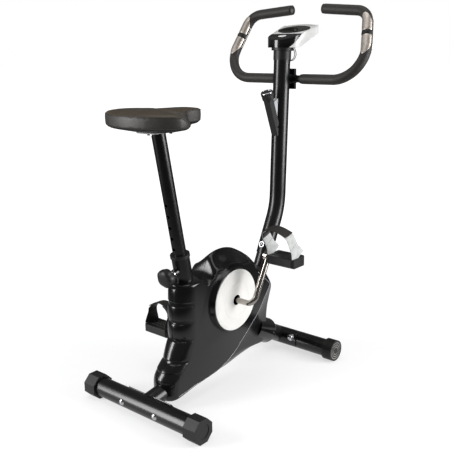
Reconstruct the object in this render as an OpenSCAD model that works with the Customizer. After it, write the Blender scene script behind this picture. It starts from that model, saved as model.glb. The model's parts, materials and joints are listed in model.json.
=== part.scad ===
// Upright home exercise bike.
// X points forward to the handlebar, Y to the rider's left, Z up, the floor is Z = 0.
// Lengths along X are first measured from the axis of the rear floor tube.

/* [Floor tubes] */
// Distance between the rear and the front floor tube
wheel_base = 629; // [560:1:720]
// Radius of both floor tubes
floor_tube_r = 27.5; // [22:0.5:32]
// Wall of both floor tubes
floor_tube_wall = 2; // [1.5:0.1:3]
// Length of the rear floor tube over its caps
rear_span = 432; // [380:1:520]
// Length of the front floor tube over its rollers
front_span = 438; // [380:1:520]
// Length of a rear end cap
cap_len = 42; // [34:1:60]
// Thickness of the plastic that lifts the floor tubes off the floor
foot_lift = 6.1; // [4:0.1:10]
// Length of a transport roller
roller_len = 34; // [26:1:44]
// Distance between the two bolts on a floor tube
floor_bolt_pitch = 128; // [100:1:140]
// Width of the curved saddle plates
saddle_plate_w = 164; // [150:1:190]
// Thickness of the curved saddle plates
saddle_plate_t = 3; // [2:0.1:4]

/* [Frame] */
// Outer radius of the frame tubes and of the front post
frame_r = 25.4; // [22:0.1:28]
// Wall of the frame tubes
frame_wall = 2; // [1.5:0.1:3]
// Rise of the rear frame tube, degrees
base_rise = 9.3; // [7:0.1:12]
// Fall of the front frame tube, degrees
front_fall = 26.3; // [22:0.1:30]
// Distance of the crank axle in front of the rear floor tube
crank_x = 324; // [310:1:335]
// Height of the crank axle
crank_z = 259; // [250:1:270]
// Lean of the seat tube, degrees from upright
seat_lean = 11; // [8:0.1:14]
// Distance along the base where the seat tube stands
seat_foot_x = 223.2; // [215:0.1:232]
// Length of the seat tube
seat_tube_len = 356; // [340:1:380]

/* [Crank and pedals] */
// Length of a crank arm
crank_len = 148; // [140:1:155]
// Radius of the crank bar
crank_bar_r = 8.5; // [7:0.1:10]
// Angle of the right crank arm above the horizontal
crank_angle = 61.5; // [0:0.5:90]
// Distance from the middle of the bike to the middle of a crank arm
arm_y = 124; // [120:1:130]
// Bend radius of the crank bar
crank_bend = 24; // [20:1:28]
// Length of a pedal along its axle
pedal_len = 92; // [80:1:110]
// Width of a pedal, front to back
pedal_w = 64; // [56:1:80]
// Height of a pedal
pedal_h = 28; // [24:1:34]
// Height of the strap above the pedal
strap_h = 106; // [85:1:120]
// Lean of the strap, degrees
strap_lean = 33; // [0:1:40]

/* [Drive] */
// Radius of the pulley on the crank
pulley_r = 78; // [60:1:80]
// Radius of the flywheel
flywheel_r = 58; // [50:1:60]
// Thickness of the flywheel
flywheel_t = 10; // [8:1:11]
// Radius of the small pulley
small_pulley_r = 18; // [14:1:20]

/* [Housing] */
// Half width of the housing at its flanks
flank_y = 45; // [44:0.5:50]
// Wall of the housing
shell_wall = 2.5; // [2:0.1:3]
// Radius of the round side cover
cover_r = 92; // [86:1:93]
// Distance from the middle of the bike to the face of the side cover
cover_y = 62.4; // [60:0.2:66]
// Radius of the sleeve round the front frame tube
sleeve_r = 41; // [36:0.5:44]
// Radius of the dome over the crank
dome_r = 147; // [142:1:152]

/* [Seat] */
// Radius of the seat post
seat_post_r = 19; // [17:0.1:20]
// Wall of the seat post
seat_post_wall = 1.8; // [1.5:0.1:2.5]
// Distance between two height holes
hole_pitch = 32.4; // [30:0.1:35]
// Radius of a height hole
hole_r = 5; // [4:0.1:6]
// Length of the seat post above the lock hole at rest
seat_rise = 396; // [370:1:420]
// Half width of the saddle
saddle_half_w = 134; // [120:1:150]
// Length of the saddle
saddle_len = 258; // [240:1:290]
// Height of the saddle's side wall
saddle_wall_h = 36; // [28:1:46]
// Height of the crown above the saddle's side wall
saddle_crown = 9; // [4:1:16]

/* [Post and handlebar] */
// Radius of the bend in the front post
post_bend_r = 200; // [120:1:260]
// Lean of the lower post, degrees from upright
post_lean = 25.7; // [22:0.1:30]
// Lean of the upper post, degrees from upright
post_top_lean = 2.6; // [0:0.1:6]
// Height of the post's bend
post_bend_z = 483; // [460:1:520]
// Height of the post's top end
post_top_z = 964; // [930:1:990]
// Height of the handlebar clamp
bar_z = 880; // [850:1:895]
// Radius of the steel handlebar
bar_r = 11; // [10:0.1:12.5]
// Outer radius of the foam grips
grip_r = 15.5; // [14.5:0.1:18]
// Half width of the handlebar to the middle of its side
bar_half_w = 246; // [220:1:260]
// Forward tilt of the handlebar, degrees from upright
bar_tilt = 25.6; // [15:0.1:35]
// Radius of the lower bend of the handlebar
bar_low_bend = 88; // [75:1:95]
// Radius of the upper bend of the handlebar
bar_top_bend = 50; // [40:1:60]
// Length of the handlebar's side between its bends
bar_side_len = 78; // [60:1:95]
// Length of the handlebar's upper end
bar_end_len = 124; // [90:1:130]

/* [Console] */
// Half width of the console
console_half_w = 66; // [58:1:72]
// Slope of the console's face, degrees
console_slope = 18; // [10:0.1:25]
// Length of the console, back to front
console_len = 147; // [130:1:155]
// Half width of the display lens
lens_half_w = 54; // [45:1:55]
// Half depth of the display lens
lens_half_d = 32; // [26:1:34]

/* [Tension control] */
// Radius of the tension knob
tension_knob_r = 19.5; // [16:0.5:24]
// Width of the tension control's body
tension_w = 23; // [18:0.5:28]
// Length of the tension control's body
tension_len = 106; // [90:1:125]

/* [Hidden] */

$fn = 48;
// Radial running clearance, clearance between moving bodies, a cut's overshoot
run = 0.07;
gap = 0.4;
eps = 0.01;

floor_axis_z = floor_tube_r + foot_lift;
cap_wall = 4;
roller_gap = 0.4;
roller_axle_r = 7;
plug_flange = 2;

// Directions in the plane y = 0, as [x, z]
function dir(a) = [cos(a), sin(a)];
function vec(p, d, l) = [p[0] + d[0] * l, p[1] + d[1] * l];
function up_at(lean) = [sin(lean), cos(lean)];

base_dir = dir(base_rise);
front_dir = dir(180 - front_fall);
post_dir = up_at(post_lean);
post_top_dir = up_at(post_top_lean);
seat_dir = up_at(-seat_lean);
seat_back = dir(180 + seat_lean);

rear_axis = [0, floor_axis_z];
front_axis = [wheel_base, floor_axis_z];
crank_axis = [crank_x, crank_z];

// The base tube runs to where it meets the front frame tube
function meet(p, d, q, e) =
    vec(p, d, ((q[0] - p[0]) * e[1] - (q[1] - p[1]) * e[0]) / (d[0] * e[1] - d[1] * e[0]));
base_from = [0, floor_axis_z + 1.2];
frame_knee = meet(base_from, base_dir, front_axis, front_dir);
seat_foot = meet(base_from, base_dir, [seat_foot_x, 0], [0, 1]);

// Front post: two straight lines and the bend between them
post_bend = [606.6, post_bend_z];
post_turn = post_lean - post_top_lean;
post_tangent = post_bend_r * tan(post_turn / 2);
post_low_end = vec(post_bend, post_dir, -(post_bend_z - 340) / post_dir[1]);
post_stub_top = vec(post_low_end, post_dir, 62);
post_foot = meet(post_bend, post_dir, base_from, base_dir);
post_top = vec(post_bend, post_top_dir, (post_top_z - post_bend_z) / post_top_dir[1]);
function post_at(z) = vec(post_bend, post_top_dir, (z - post_bend_z) / post_top_dir[1]);
stub_r = frame_r - frame_wall - 0.1;

// Seat: the lock pin's hole is the reference on the seat axis
lock_l = seat_tube_len - 36;
steps_down = 5;
steps_up = 2;
post_below = (steps_up + 1.25) * hole_pitch;
seat_lock = vec(seat_foot, seat_dir, lock_l);
seat_top = vec(seat_foot, seat_dir, lock_l + seat_rise);
bush_r = frame_r - frame_wall;

// Handlebar: the axis of its straight lower part
bar_axis = [post_at(bar_z)[0] + frame_r / cos(post_top_lean) + bar_r + 2, bar_z];
side_lean = 12.7;
end_rise = 5;
bar_straight = bar_half_w - bar_low_bend;

// Points of one loop in its own plane, as [y, height along the tilt]
loop_low = [bar_straight, 0];
loop_low_c = [bar_straight, bar_low_bend];
loop_side_a = [bar_straight + bar_low_bend * cos(side_lean), bar_low_bend * (1 + sin(side_lean))];
loop_side_b = [loop_side_a[0] - bar_side_len * sin(side_lean),
               loop_side_a[1] + bar_side_len * cos(side_lean)];
loop_top_c = [loop_side_b[0] - bar_top_bend * cos(side_lean),
              loop_side_b[1] - bar_top_bend * sin(side_lean)];
loop_top_a = [loop_top_c[0] + bar_top_bend * sin(end_rise),
              loop_top_c[1] + bar_top_bend * cos(end_rise)];
loop_top_b = [loop_top_a[0] - bar_end_len * cos(end_rise), loop_top_a[1] + bar_end_len * sin(end_rise)];
grip_start = 46;

// The part's origin is the middle of its box: rear cap to the front of the upper grips
front_reach = bar_axis[0] + loop_top_b[1] * sin(bar_tilt)
              + grip_r * sqrt(1 - pow(sin(end_rise) * sin(bar_tilt), 2));
mid_x = (front_reach - floor_axis_z) / 2;

pedal_gap = 5.5;
pedal_in_y = arm_y + crank_bar_r + 1.5 + pedal_gap;
pedal_y = pedal_in_y + pedal_len / 2;
pedal_axle_r = 6;
right_eye = vec(crank_axis, dir(crank_angle), crank_len);
left_eye = vec(crank_axis, dir(crank_angle + 180), crank_len);

fly_axis = [crank_x + 101, crank_z + 3];
fly_y = -32;
belt_y = 34;
belt_w = 8;
belt_t = 2.4;
axle_r = 6;
shell_half = 24;
hub_r = 20;
bearing_w = 9;
band_t = 1.6;
band_w = 9;

drum_r = 98;
drum_face_y = 58;
cover_hole_r = 15.5;

// ---- helpers ----

module frame_shift() translate([-mid_x, 0, 0]) children();

module at(p, y = 0) translate([p[0], y, p[1]]) children();

// Round bar in the plane y, from a to b
module bar(a, b, r, y = 0, more_a = 0, more_b = 0) {
    d = [b[0] - a[0], b[1] - a[1]];
    l = norm(d);
    translate([a[0], y, a[1]]) rotate([0, atan2(d[0], d[1]), 0])
        translate([0, 0, -more_a]) cylinder(r = r, h = l + more_a + more_b);
}

// Cylinder along Y, centred on y
module across(r, h, y = 0) translate([0, y, 0]) rotate([90, 0, 0]) cylinder(r = r, h = h, center = true);

// Cylinder along Y from y0 to y1
module across_from(r, y0, y1) across(r, abs(y1 - y0), (y0 + y1) / 2);

// Flat plate in an XZ outline, from y0 to y1
module plate(y0, y1) translate([0, max(y0, y1), 0]) rotate([90, 0, 0]) linear_extrude(abs(y1 - y0)) children();

// Low dome on a round base
module dome(r, h) {
    ball = (r * r + h * h) / (2 * h);
    intersection() {
        translate([0, 0, h - ball]) sphere(r = ball, $fn = 64);
        cylinder(r = r, h = 2 * h);
    }
}

module hex(r, h) cylinder(r = r, h = h, $fn = 6);

module left_right() {
    children();
    mirror([0, 1, 0]) children();
}

// Smooth curve through control points; each span gets n points
function curve_point(a, b, c, d, t) =
    0.5 * (2 * b + (c - a) * t + (2 * a - 5 * b + 4 * c - d) * t * t + (3 * b - a - 3 * c + d) * t * t * t);
function closed_curve(c, n) = [for (i = [0:len(c) - 1], k = [0:n - 1])
    let (m = len(c))
    curve_point(c[(i + m - 1) % m], c[i], c[(i + 1) % m], c[(i + 2) % m], k / n)];

// Solid through rings of equally many points
module loft(rings) {
    n = len(rings[0]);
    last = len(rings) - 1;
    sides = [for (r = [0:last - 1], i = [0:n - 1])
        [r * n + i, r * n + (i + 1) % n, (r + 1) * n + (i + 1) % n, (r + 1) * n + i]];
    ends = [[for (i = [n - 1:-1:0]) i], [for (i = [0:n - 1]) last * n + i]];
    polyhedron(points = [for (r = rings, p = r) p], faces = concat(sides, ends), convexity = 8);
}

// ---- floor tubes ----

module floor_bolt_holes(len) {
    for (s = [-1, 1]) translate([0, s * floor_bolt_pitch / 2, 0]) rotate([0, 90, 0])
        cylinder(r = 4.3, h = len, center = true);
}

module floor_tube(span) {
    difference() {
        across(floor_tube_r, span);
        across(floor_tube_r - floor_tube_wall, span + 2);
        children();
    }
}

module rear_stabiliser() {
    color("#1c1c1e") frame_shift() at(rear_axis) floor_tube(rear_span - 2 * cap_wall)
        floor_bolt_holes(80);
}

module front_stabiliser() {
    color("#1c1c1e") frame_shift() at(front_axis)
        floor_tube(front_span - 2 * (roller_len + roller_gap + plug_flange))
        rotate([0, front_fall, 0]) floor_bolt_holes(80);
}

// Octagonal cap with a round recess in its end
module rear_cap() {
    translate([0, rear_span / 2, 0]) rotate([90, 0, 0]) difference() {
        rotate([0, 0, 22.5]) cylinder(r = floor_axis_z / cos(22.5), h = cap_len, $fn = 8);
        translate([0, 0, cap_wall]) cylinder(r = floor_tube_r, h = cap_len);
        translate([0, 0, -eps]) cylinder(r = 21, h = 1.6);
    }
}

module rear_cap_left() color("#2a2a2b") frame_shift() at(rear_axis) rear_cap();
module rear_cap_right() color("#2a2a2b") frame_shift() at(rear_axis) mirror([0, 1, 0]) rear_cap();

// Plug in the tube's end with the roller's axle
module roller_plug() {
    inner = front_span / 2 - roller_len - roller_gap;
    across_from(floor_tube_r - floor_tube_wall, inner - plug_flange - 18, inner - plug_flange);
    across_from(floor_tube_r, inner - plug_flange, inner);
    across_from(roller_axle_r, inner, inner + roller_len - 6);
}

module roller_plugs() color("#202022") frame_shift() at(front_axis) left_right() roller_plug();

// Ribbed roller with rings in its end face
module roller() {
    ribs = 32;
    inner = front_span / 2 - roller_len;
    difference() {
        across_from(floor_axis_z, inner, inner + roller_len);
        across_from(roller_axle_r + run, inner - 1, inner + roller_len - 5);
        for (i = [0:ribs - 1]) rotate([0, i * 360 / ribs, 0])
            translate([floor_axis_z - 0.9, inner + 5, -1]) cube([2, roller_len - 9, 2]);
        for (r = [12, 19, 26]) difference() {
            across_from(r + 1.6, inner + roller_len - 1.2, inner + roller_len + 1);
            across_from(r - 1.6, inner + roller_len - 2, inner + roller_len + 2);
        }
    }
}

module roller_left() color("#262627") frame_shift() at(front_axis) roller();
module roller_right() color("#262627") frame_shift() at(front_axis) mirror([0, 1, 0]) roller();

// Bolt through a floor tube: domed head behind, washer and nut on the saddle plate
module floor_bolt(domed_nut) {
    reach = floor_tube_r + saddle_plate_t;
    rotate([0, 90, 0]) {
        translate([0, 0, -floor_tube_r - 0.1]) mirror([0, 0, 1]) dome(9.5, 5);
        translate([0, 0, -floor_tube_r - 1]) cylinder(r = 4, h = 2 * floor_tube_r + saddle_plate_t + 6);
        translate([0, 0, reach + 0.1]) cylinder(r = 9, h = 1.6);
        translate([0, 0, reach + 1.6]) hex(7.4, 6.5);
        if (domed_nut) translate([0, 0, reach + 8]) dome(6.2, 5);
        else translate([0, 0, reach + 8]) cylinder(r = 4, h = 4);
    }
}

module stabiliser_bolts() {
    color("#c9c9cc") frame_shift() for (s = [-1, 1]) {
        at(rear_axis, s * floor_bolt_pitch / 2) floor_bolt(false);
        at(front_axis, s * floor_bolt_pitch / 2) rotate([0, 180 + front_fall, 0]) floor_bolt(true);
    }
}

// Curved plate round the forward side of a floor tube
module saddle_plate() {
    difference() {
        across(floor_tube_r + saddle_plate_t, saddle_plate_w);
        across(floor_tube_r + 0.06, saddle_plate_w + 2);
        for (s = [-1, 1]) rotate([0, s * 52, 0])
            translate([-60, -saddle_plate_w, s > 0 ? -120 : 0]) cube([120, 2 * saddle_plate_w, 120]);
        translate([-120, -saddle_plate_w, -60]) cube([120, 2 * saddle_plate_w, 120]);
        floor_bolt_holes(80);
    }
}

// ---- frame ----

module base_tube() {
    color("#19191b") frame_shift() {
        difference() {
            bar(base_from, frame_knee, frame_r);
            bar(base_from, frame_knee, frame_r - frame_wall, 0, 1, 1);
            at(rear_axis) across(floor_tube_r + 1, 200);
            at(frame_screw) across(2.2, 80);
        }
        at(rear_axis) saddle_plate();
    }
}

module front_tube() {
    color("#19191b") frame_shift() {
        difference() {
            bar(frame_knee, front_axis, frame_r, 0, 20);
            bar(frame_knee, front_axis, frame_r - frame_wall, 0, 30, 1);
            bar(base_from, frame_knee, frame_r, 0, 0, 0);
            bar(base_from, frame_knee, frame_r - frame_wall - 1, 0, 0, 10);
            at(front_axis) across(floor_tube_r + 1, 200);
        }
        at(front_axis) rotate([0, 180 + front_fall, 0]) saddle_plate();
    }
}

module seat_tube() {
    color("#19191b") frame_shift() difference() {
        union() {
            bar(seat_foot, vec(seat_foot, seat_dir, seat_tube_len), frame_r);
            bar(vec(seat_lock, seat_back, 12), vec(seat_lock, seat_back, frame_r + 9), 11);
        }
        bar(seat_foot, vec(seat_foot, seat_dir, seat_tube_len), bush_r, 0, 1, 1);
        bar(base_from, frame_knee, frame_r + run, 0, 0, 20);
        bar(seat_lock, vec(seat_lock, seat_back, 60), 6 + run);
    }
}

// Stub of the front post, welded on the base tube
module post_stub() {
    color("#19191b") frame_shift() difference() {
        bar(post_foot, post_stub_top, stub_r);
        bar(post_foot, post_stub_top, stub_r - frame_wall, 0, 1, 1);
        bar(base_from, frame_knee, frame_r, 0, 0, 40);
        bar(frame_knee, front_axis, frame_r, 0, 20);
        post_bolt_places() cylinder(r = 4.1, h = 14, center = true);
        at(cable_hole) rotate([0, post_lean, 0]) translate([-3, -stub_r, 0]) rotate([90, 0, 0])
            cylinder(r = 6, h = 14, center = true);
    }
}

cable_hole = vec(post_foot, post_dir, 201);

// The three bolts of the lower post joint: behind, left and right
post_bolt_l = 24;
module post_bolt_places() {
    for (a = [0, 100, -100])
        translate([vec(post_low_end, post_dir, post_bolt_l)[0], 0, vec(post_low_end, post_dir, post_bolt_l)[1]])
        rotate([0, post_lean, 0]) rotate([0, 0, a]) translate([-frame_r + 1, 0, 0]) rotate([0, -90, 0])
        children();
}

// Crank shell on two gusset plates
module crank_bracket() {
    foot = meet(base_from, base_dir, [crank_x, 0], [0, 1]);
    color("#19191b") frame_shift() difference() {
        union() {
            at(crank_axis) across(hub_r, 2 * shell_half);
            for (s = [-1, 1]) plate(s * 12, s * 16)
                polygon([[crank_x - 42, foot[1] - 8], [crank_x + 42, foot[1] + 6],
                         [crank_x + hub_r - 1, crank_z], [crank_x - hub_r + 1, crank_z]]);
        }
        at(crank_axis) across(hub_r - 2.5, 2 * shell_half + 2);
        bar(base_from, frame_knee, frame_r, 0, 0, 0);
    }
}

module ring_across(r_out, r_in, y0, y1) {
    difference() {
        across_from(r_out, y0, y1);
        across_from(r_in, min(y0, y1) - 1, max(y0, y1) + 1);
    }
}

module bearings() {
    color("#b8b8bc") frame_shift() left_right() {
        at(crank_axis) ring_across(hub_r - 2.5, crank_bar_r + run, shell_half - bearing_w, shell_half);
        at(fly_axis) ring_across(fly_tube_r - 2, axle_r + run, 14, 22);
    }
}

fly_tube_r = 15;
anchor_a = 104;
anchor_r = flywheel_r + gap + band_t + 4.5;

// Bearing tube of the flywheel, its web to the stub and the arm for the brake band
module flywheel_bracket() {
    root_low = vec(post_foot, post_dir, 128);
    root_high = vec(post_foot, post_dir, 196);
    color("#19191b") frame_shift() difference() {
        union() {
            at(fly_axis) across(fly_tube_r, 44);
            plate(-3, 3) polygon([[fly_axis[0], fly_axis[1] - fly_tube_r + 1], root_low, root_high,
                                  [fly_axis[0], fly_axis[1] + fly_tube_r - 1]]);
            at(fly_axis) rotate([0, 90 - anchor_a, 0]) translate([-6, -26, fly_tube_r - 3])
                cube([12, 3.5, anchor_r - fly_tube_r + 7]);
            at(fly_axis) rotate([0, 90 - anchor_a, 0]) translate([-6, -26, fly_tube_r - 3]) cube([12, 20, 3.5]);
            at(vec(fly_axis, dir(anchor_a), anchor_r)) across_from(3, -24, fly_y - 6);
        }
        at(fly_axis) across(fly_tube_r - 2, 60);
        bar(post_foot, post_stub_top, stub_r);
    }
}

// Loop round the two pulleys, grown by t
module belt_loop(t) {
    hull() {
        translate(crank_axis) circle(r = pulley_r + t, $fn = 96);
        translate(fly_axis) circle(r = small_pulley_r + t);
    }
}

module drive_belt() {
    color("#161616") frame_shift() plate(belt_y - belt_w / 2, belt_y + belt_w / 2) difference() {
        belt_loop(gap + belt_t);
        belt_loop(gap);
    }
}

band_exit = -post_lean;
band_wrap = 360 - anchor_a + band_exit;

// Steel band with its felt: round the wheel's back and underside, then up beside the stub
module brake_band() {
    r0 = flywheel_r + gap;
    n = 110;
    inner = [for (k = [0:n]) vec(fly_axis, dir(anchor_a + band_wrap * k / n), r0)];
    outer = [for (k = [n:-1:0]) vec(fly_axis, dir(anchor_a + band_wrap * k / n), r0 + band_t)];
    color("#8a8a86") frame_shift() {
        plate(fly_y - band_w / 2, fly_y + band_w / 2)
            polygon(concat(inner, [vec(inner[n], post_dir, 11), vec(outer[0], post_dir, 11)], outer));
        difference() {
            at(vec(fly_axis, dir(anchor_a), anchor_r)) across(5, band_w - 0.4, fly_y);
            at(vec(fly_axis, dir(anchor_a), anchor_r)) across(3 + run, band_w + 2, fly_y);
            at(fly_axis) across(r0 + 0.3, band_w + 2, fly_y);
        }
        at(spring_start) ring_across(3.4, 1.9, fly_y - 1.5, fly_y + 1.5);
    }
}

spring_start = vec(vec(fly_axis, dir(band_exit), flywheel_r + gap + band_t / 2 + 1.6), post_dir, 13.2);

// Close-wound tension spring between band and cable
module brake_spring() {
    coils = 6;
    color("#9a9a9c") frame_shift() at(spring_start, fly_y) rotate([0, post_lean, 0]) {
        rotate([90, 0, 0]) cylinder(r = 1.3, h = 6, center = true);
        for (s = [-1, 1]) translate([0, 2.7 * s, 0]) cylinder(r = 0.8, h = 7);
        translate([0, 0, 6]) for (i = [0:coils - 1]) translate([0, 0, 1.6 * i + 0.9])
            rotate_extrude() translate([2.6, 0]) square([1.4, 1.7], center = true);
        translate([0, 0, 5.8]) cylinder(r = 3, h = 1);
        translate([0, 0, 6 + 1.6 * coils - 0.5]) cylinder(r = 3, h = 1);
    }
}

// Tube swept along points; w is its radius, s its sides
function unit(v) = v / norm(v);
function sweep_dir(p, i) = unit(p[min(i + 1, len(p) - 1)] - p[max(i - 1, 0)]);
module sweep(p, w, s = 8) {
    loft([for (i = [0:len(p) - 1])
        let (t = sweep_dir(p, i), side = unit(cross(t, [0.3, 1, 0.1])), top = cross(side, t))
        [for (k = [0:s - 1]) p[i] + w * (cos(k * 360 / s) * side + sin(k * 360 / s) * top)]]);
}

// Cable from the spring into the stub, up inside the post and out to the tension control
cable_start = vec(spring_start, post_dir, 16.1);
cable_in = vec(post_foot, post_dir, 192);
cable_route = concat(
    [[cable_start[0], fly_y, cable_start[1]],
     [cable_start[0] + 2, fly_y + 0.5, cable_start[1] + 5]],
    [for (i = [0:3]) let (q = vec(cable_in, post_dir, i * 13)) [q[0] - 3, -26 + 5 * i, q[1]]],
    [for (l = [40:25:90]) let (q = vec(cable_in, post_dir, l + 20)) [q[0] - 3, -6, q[1]]],
    [for (a = [0:0.25:1]) let (q = vec(post_bend, post_dir, -50 * (1 - a)), e = vec(post_bend, post_top_dir, 50 * a))
        [q[0] * (1 - a) + e[0] * a - 3, -6 + 2 * a, q[1] * (1 - a) + e[1] * a]],
    [for (z = [580:45:700]) [post_at(z)[0] - 4, -3, z]],
    [[post_at(712)[0] - 8, -2, 712]]);
module brake_cable() color("#1a1a1a") frame_shift() sweep(cable_route, 1.3);

module speed_sensor() {
    tube_x = meet(seat_foot, seat_dir, [0, crank_z - 4], [1, 0])[0] + frame_r / cos(seat_lean);
    color("#1d1d1f") frame_shift() difference() {
        translate([tube_x - 3, 4, crank_z - 10]) cube([44, 12, 12]);
        bar(seat_foot, vec(seat_foot, seat_dir, seat_tube_len), frame_r);
    }
}

// ---- housing ----

// Outline of the housing: [flank x, flank z, middle x, middle z, bevel]
// The bevel is 0 for a round side and 1 for a straight chamfer.
function dome_at(a) =
    [crank_x + (dome_r - 23) * cos(a - 2), crank_z + (dome_r - 23) * sin(a - 2),
     crank_x + dome_r * cos(a), crank_z + dome_r * sin(a), 0.2];
shoulder_z = seat_lock[1] - 33.5; // top of the rear shoulder, below the lock knob
housing_points = concat(
    [[88, 38, 66, 22, 0], [90, 62, 57, 52, 0], [98, 84, 57, 84, 0], [118, 106, 70, 106, 0],
     [140, 130, 91, 130, 0], [155, 158, 106, 158, 0], [163, 196, 116, 190, 0], [165, 246, 118, 246, 0],
     [166, shoulder_z - 56, 120, shoulder_z - 56, 0], [168, shoulder_z - 22, 123, shoulder_z - 18, 0],
     [174, shoulder_z - 9, 132, shoulder_z - 2, 0], [192, shoulder_z - 9, 206, shoulder_z, 0],
     [214, shoulder_z - 24, 226, shoulder_z - 13, 0], [236, 338, 246, 352, 0.1], [262, 364, 266, 388, 0.2]],
    [for (a = [105:-15:60]) dome_at(a)],
    [[418, 343, 443, 358, 0.4], [448, 310, 473, 327, 0.6], [478, 284, 500, 297, 0.8],
     [503, 262, 526, 261, 1], [506, 250, 535, 238, 1], [478, 214, 526, 210, 1], [446, 176, 516, 182, 1],
     [415, 150, 511, 156, 1], [389, 130, 509, 132, 1], [366, 118, 506, 106, 1], [348, 108, 502, 82, 1],
     [332, 100, 488, 63, 1], [308, 90, 436, 68, 1], [284, 80, 376, 66, 1], [256, 71, 312, 56, 0.9],
     [226, 61, 258, 47, 0.7], [190, 53, 206, 37.5, 0.5], [156, 47, 158, 29, 0.3], [118, 41, 108, 21.5, 0]]);
housing_outline = closed_curve(housing_points, 2);

function inward(c, k, i0, i1) = // unit normal of an outline, pointing inside
    let (m = len(c), a = c[(i0 + m - 1) % m], b = c[(i0 + 1) % m], t = [b[k] - a[k], b[k + 1] - a[k + 1]])
    [t[1], -t[0]] / norm(t);

// The outline moved inwards by w, at distance y from the middle plane
function blend(y, k, reach) =
    k * min(1, (reach - y) / (reach - 30)) + (1 - k) * sqrt(max(0, 1 - y * y / (reach * reach)));
function housing_ring(y, reach, w) = [for (i = [0:len(housing_outline) - 1])
    let (c = housing_outline, p = c[i], nf = inward(c, 0, i, i), nm = inward(c, 2, i, i),
         s = blend(y, p[4], reach),
         f = [p[0], p[1]] + w * nf, q = [p[2], p[3]] + w * nm, r = f + (q - f) * s)
    [r[0], y, r[1]]];

module housing_body(w, reach, y_low) {
    steps = [0.9999, 0.98, 0.92, 0.8, 0.667, 0.4];
    loft(concat([for (t = steps) housing_ring(reach * t, reach, w)], [housing_ring(y_low, reach, w)]));
}

// Hollow shell of one half: its outer rings, then its inner rings back to the side wall
module housing_cup(w, reach) {
    steps = [0.9999, 0.98, 0.92, 0.8, 0.667, 0.4, 0];
    count = len(steps) - 1;
    loft(concat([for (t = steps) housing_ring(reach * t, reach, 0)],
                [for (i = [count:-1:0]) housing_ring((reach - w) * steps[i], reach - w, w)]));
}

// Grooves round the ridge at the back, as [height, width]; each narrows to its floor
ridge_grooves = [[290, 5], [239, 9], [187, 6], [121, 3]];
groove_depth = 1.3;
module ridge_cut() {
    difference() {
        for (g = ridge_grooves) hull() {
            translate([40, -1, g[0] - g[1] / 2]) cube([60, 60, g[1]]);
            translate([40, -1, g[0] - g[1] / 2 + 1]) cube([118, 60, g[1] - 2]);
        }
        housing_body(groove_depth, flank_y - groove_depth, -2);
    }
}

// Places of the screws that join the two shells, with the lengths of their bosses
screw_places = [[148, 262, 38], [300, 372, 43], [256, 140, 43], [396, 150, 43]];
frame_screw = [104, 56];
sleeve_from = vec(frame_knee, -front_dir, 4);
sleeve_to = vec(frame_knee, -front_dir, 90);

// One shell with y > 0
module housing_shell(near) {
    difference() {
        union() {
            difference() {
                union() {
                    housing_cup(shell_wall, flank_y);
                    at(crank_axis) translate([0, flank_y - 2, 0]) rotate([-90, 0, 0])
                        cylinder(r1 = drum_r, r2 = drum_r - 3, h = drum_face_y - flank_y + 2, $fn = 96);
                    intersection() {
                        bar(sleeve_from, sleeve_to, sleeve_r);
                        translate([300, 0, 0]) cube([400, 60, 300]);
                    }
                }
                at(crank_axis) translate([0, flank_y - 5, 0]) rotate([-90, 0, 0])
                    cylinder(r = drum_r - 5.5, h = drum_face_y - flank_y + 2.5, $fn = 96);
                at(crank_axis) across_from(cover_r - 8, flank_y - 4, drum_face_y + 2, $fn = 96);
                bar(sleeve_from, sleeve_to, sleeve_r - shell_wall, 0, 1, -shell_wall);
                ridge_cut();
            }
            for (p = screw_places) at(p) hull() {
                across_from(5, 0, p[2], $fn = 24);
                across_from(6.5, p[2] - 2, p[2], $fn = 24);
            }
        }
        for (p = screw_places) at(p) {
            across_from(near ? 2.2 : 1.7, -1, near ? flank_y + 5 : 17);
            if (near) across_from(4.6, flank_y - 9, flank_y + 5);
        }
        at(frame_screw) across_from(3.2, frame_r - 2, flank_y + 5);
        bar(base_from, frame_knee, frame_r + 0.6, 0, 0, 0);
        bar(frame_knee, front_axis, frame_r + 0.6, 0, 12, 0);
        bar(seat_foot, vec(seat_foot, seat_dir, seat_tube_len + 20), frame_r + 0.6, 0, -20, 0);
        bar(post_foot, vec(post_foot, post_dir, 400), frame_r + 0.6, 0, 0, 0);
    }
}

module housing_left() color("#2b2b2e") frame_shift() housing_shell(true);
module housing_right() color("#2b2b2e") frame_shift() mirror([0, 1, 0]) housing_shell(false);

module housing_screws() {
    color("#77777a") frame_shift() {
        for (p = screw_places) at(p) {
            across_from(4.2, flank_y - 9, flank_y - 6.5);
            across_from(1.65, -16, flank_y - 8);
        }
        left_right() at(frame_screw) {
            across_from(2, frame_r - 6, frame_r + 4);
            across_from(2.9, frame_r + 1, frame_r + 5);
        }
    }
}

// Slightly domed white cover
module side_cover() {
    face = cover_y - drum_face_y;
    at(crank_axis) translate([0, drum_face_y, 0]) rotate([-90, 0, 0]) rotate_extrude($fn = 96)
        polygon([[cover_hole_r, 1.6], [cover_r - 30, 1], [cover_r - 12, 0], [cover_r, 0], [cover_r, face - 3],
                 [cover_r - 1.6, face - 1.8], [cover_r - 14, face - 1], [cover_r - 36, face - 0.3],
                 [cover_r - 60, face], [cover_hole_r, face]]);
}

module side_cover_left() color("#f2f2f0") frame_shift() side_cover();
module side_cover_right() color("#f2f2f0") frame_shift() mirror([0, 1, 0]) side_cover();

// ---- seat ----

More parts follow.
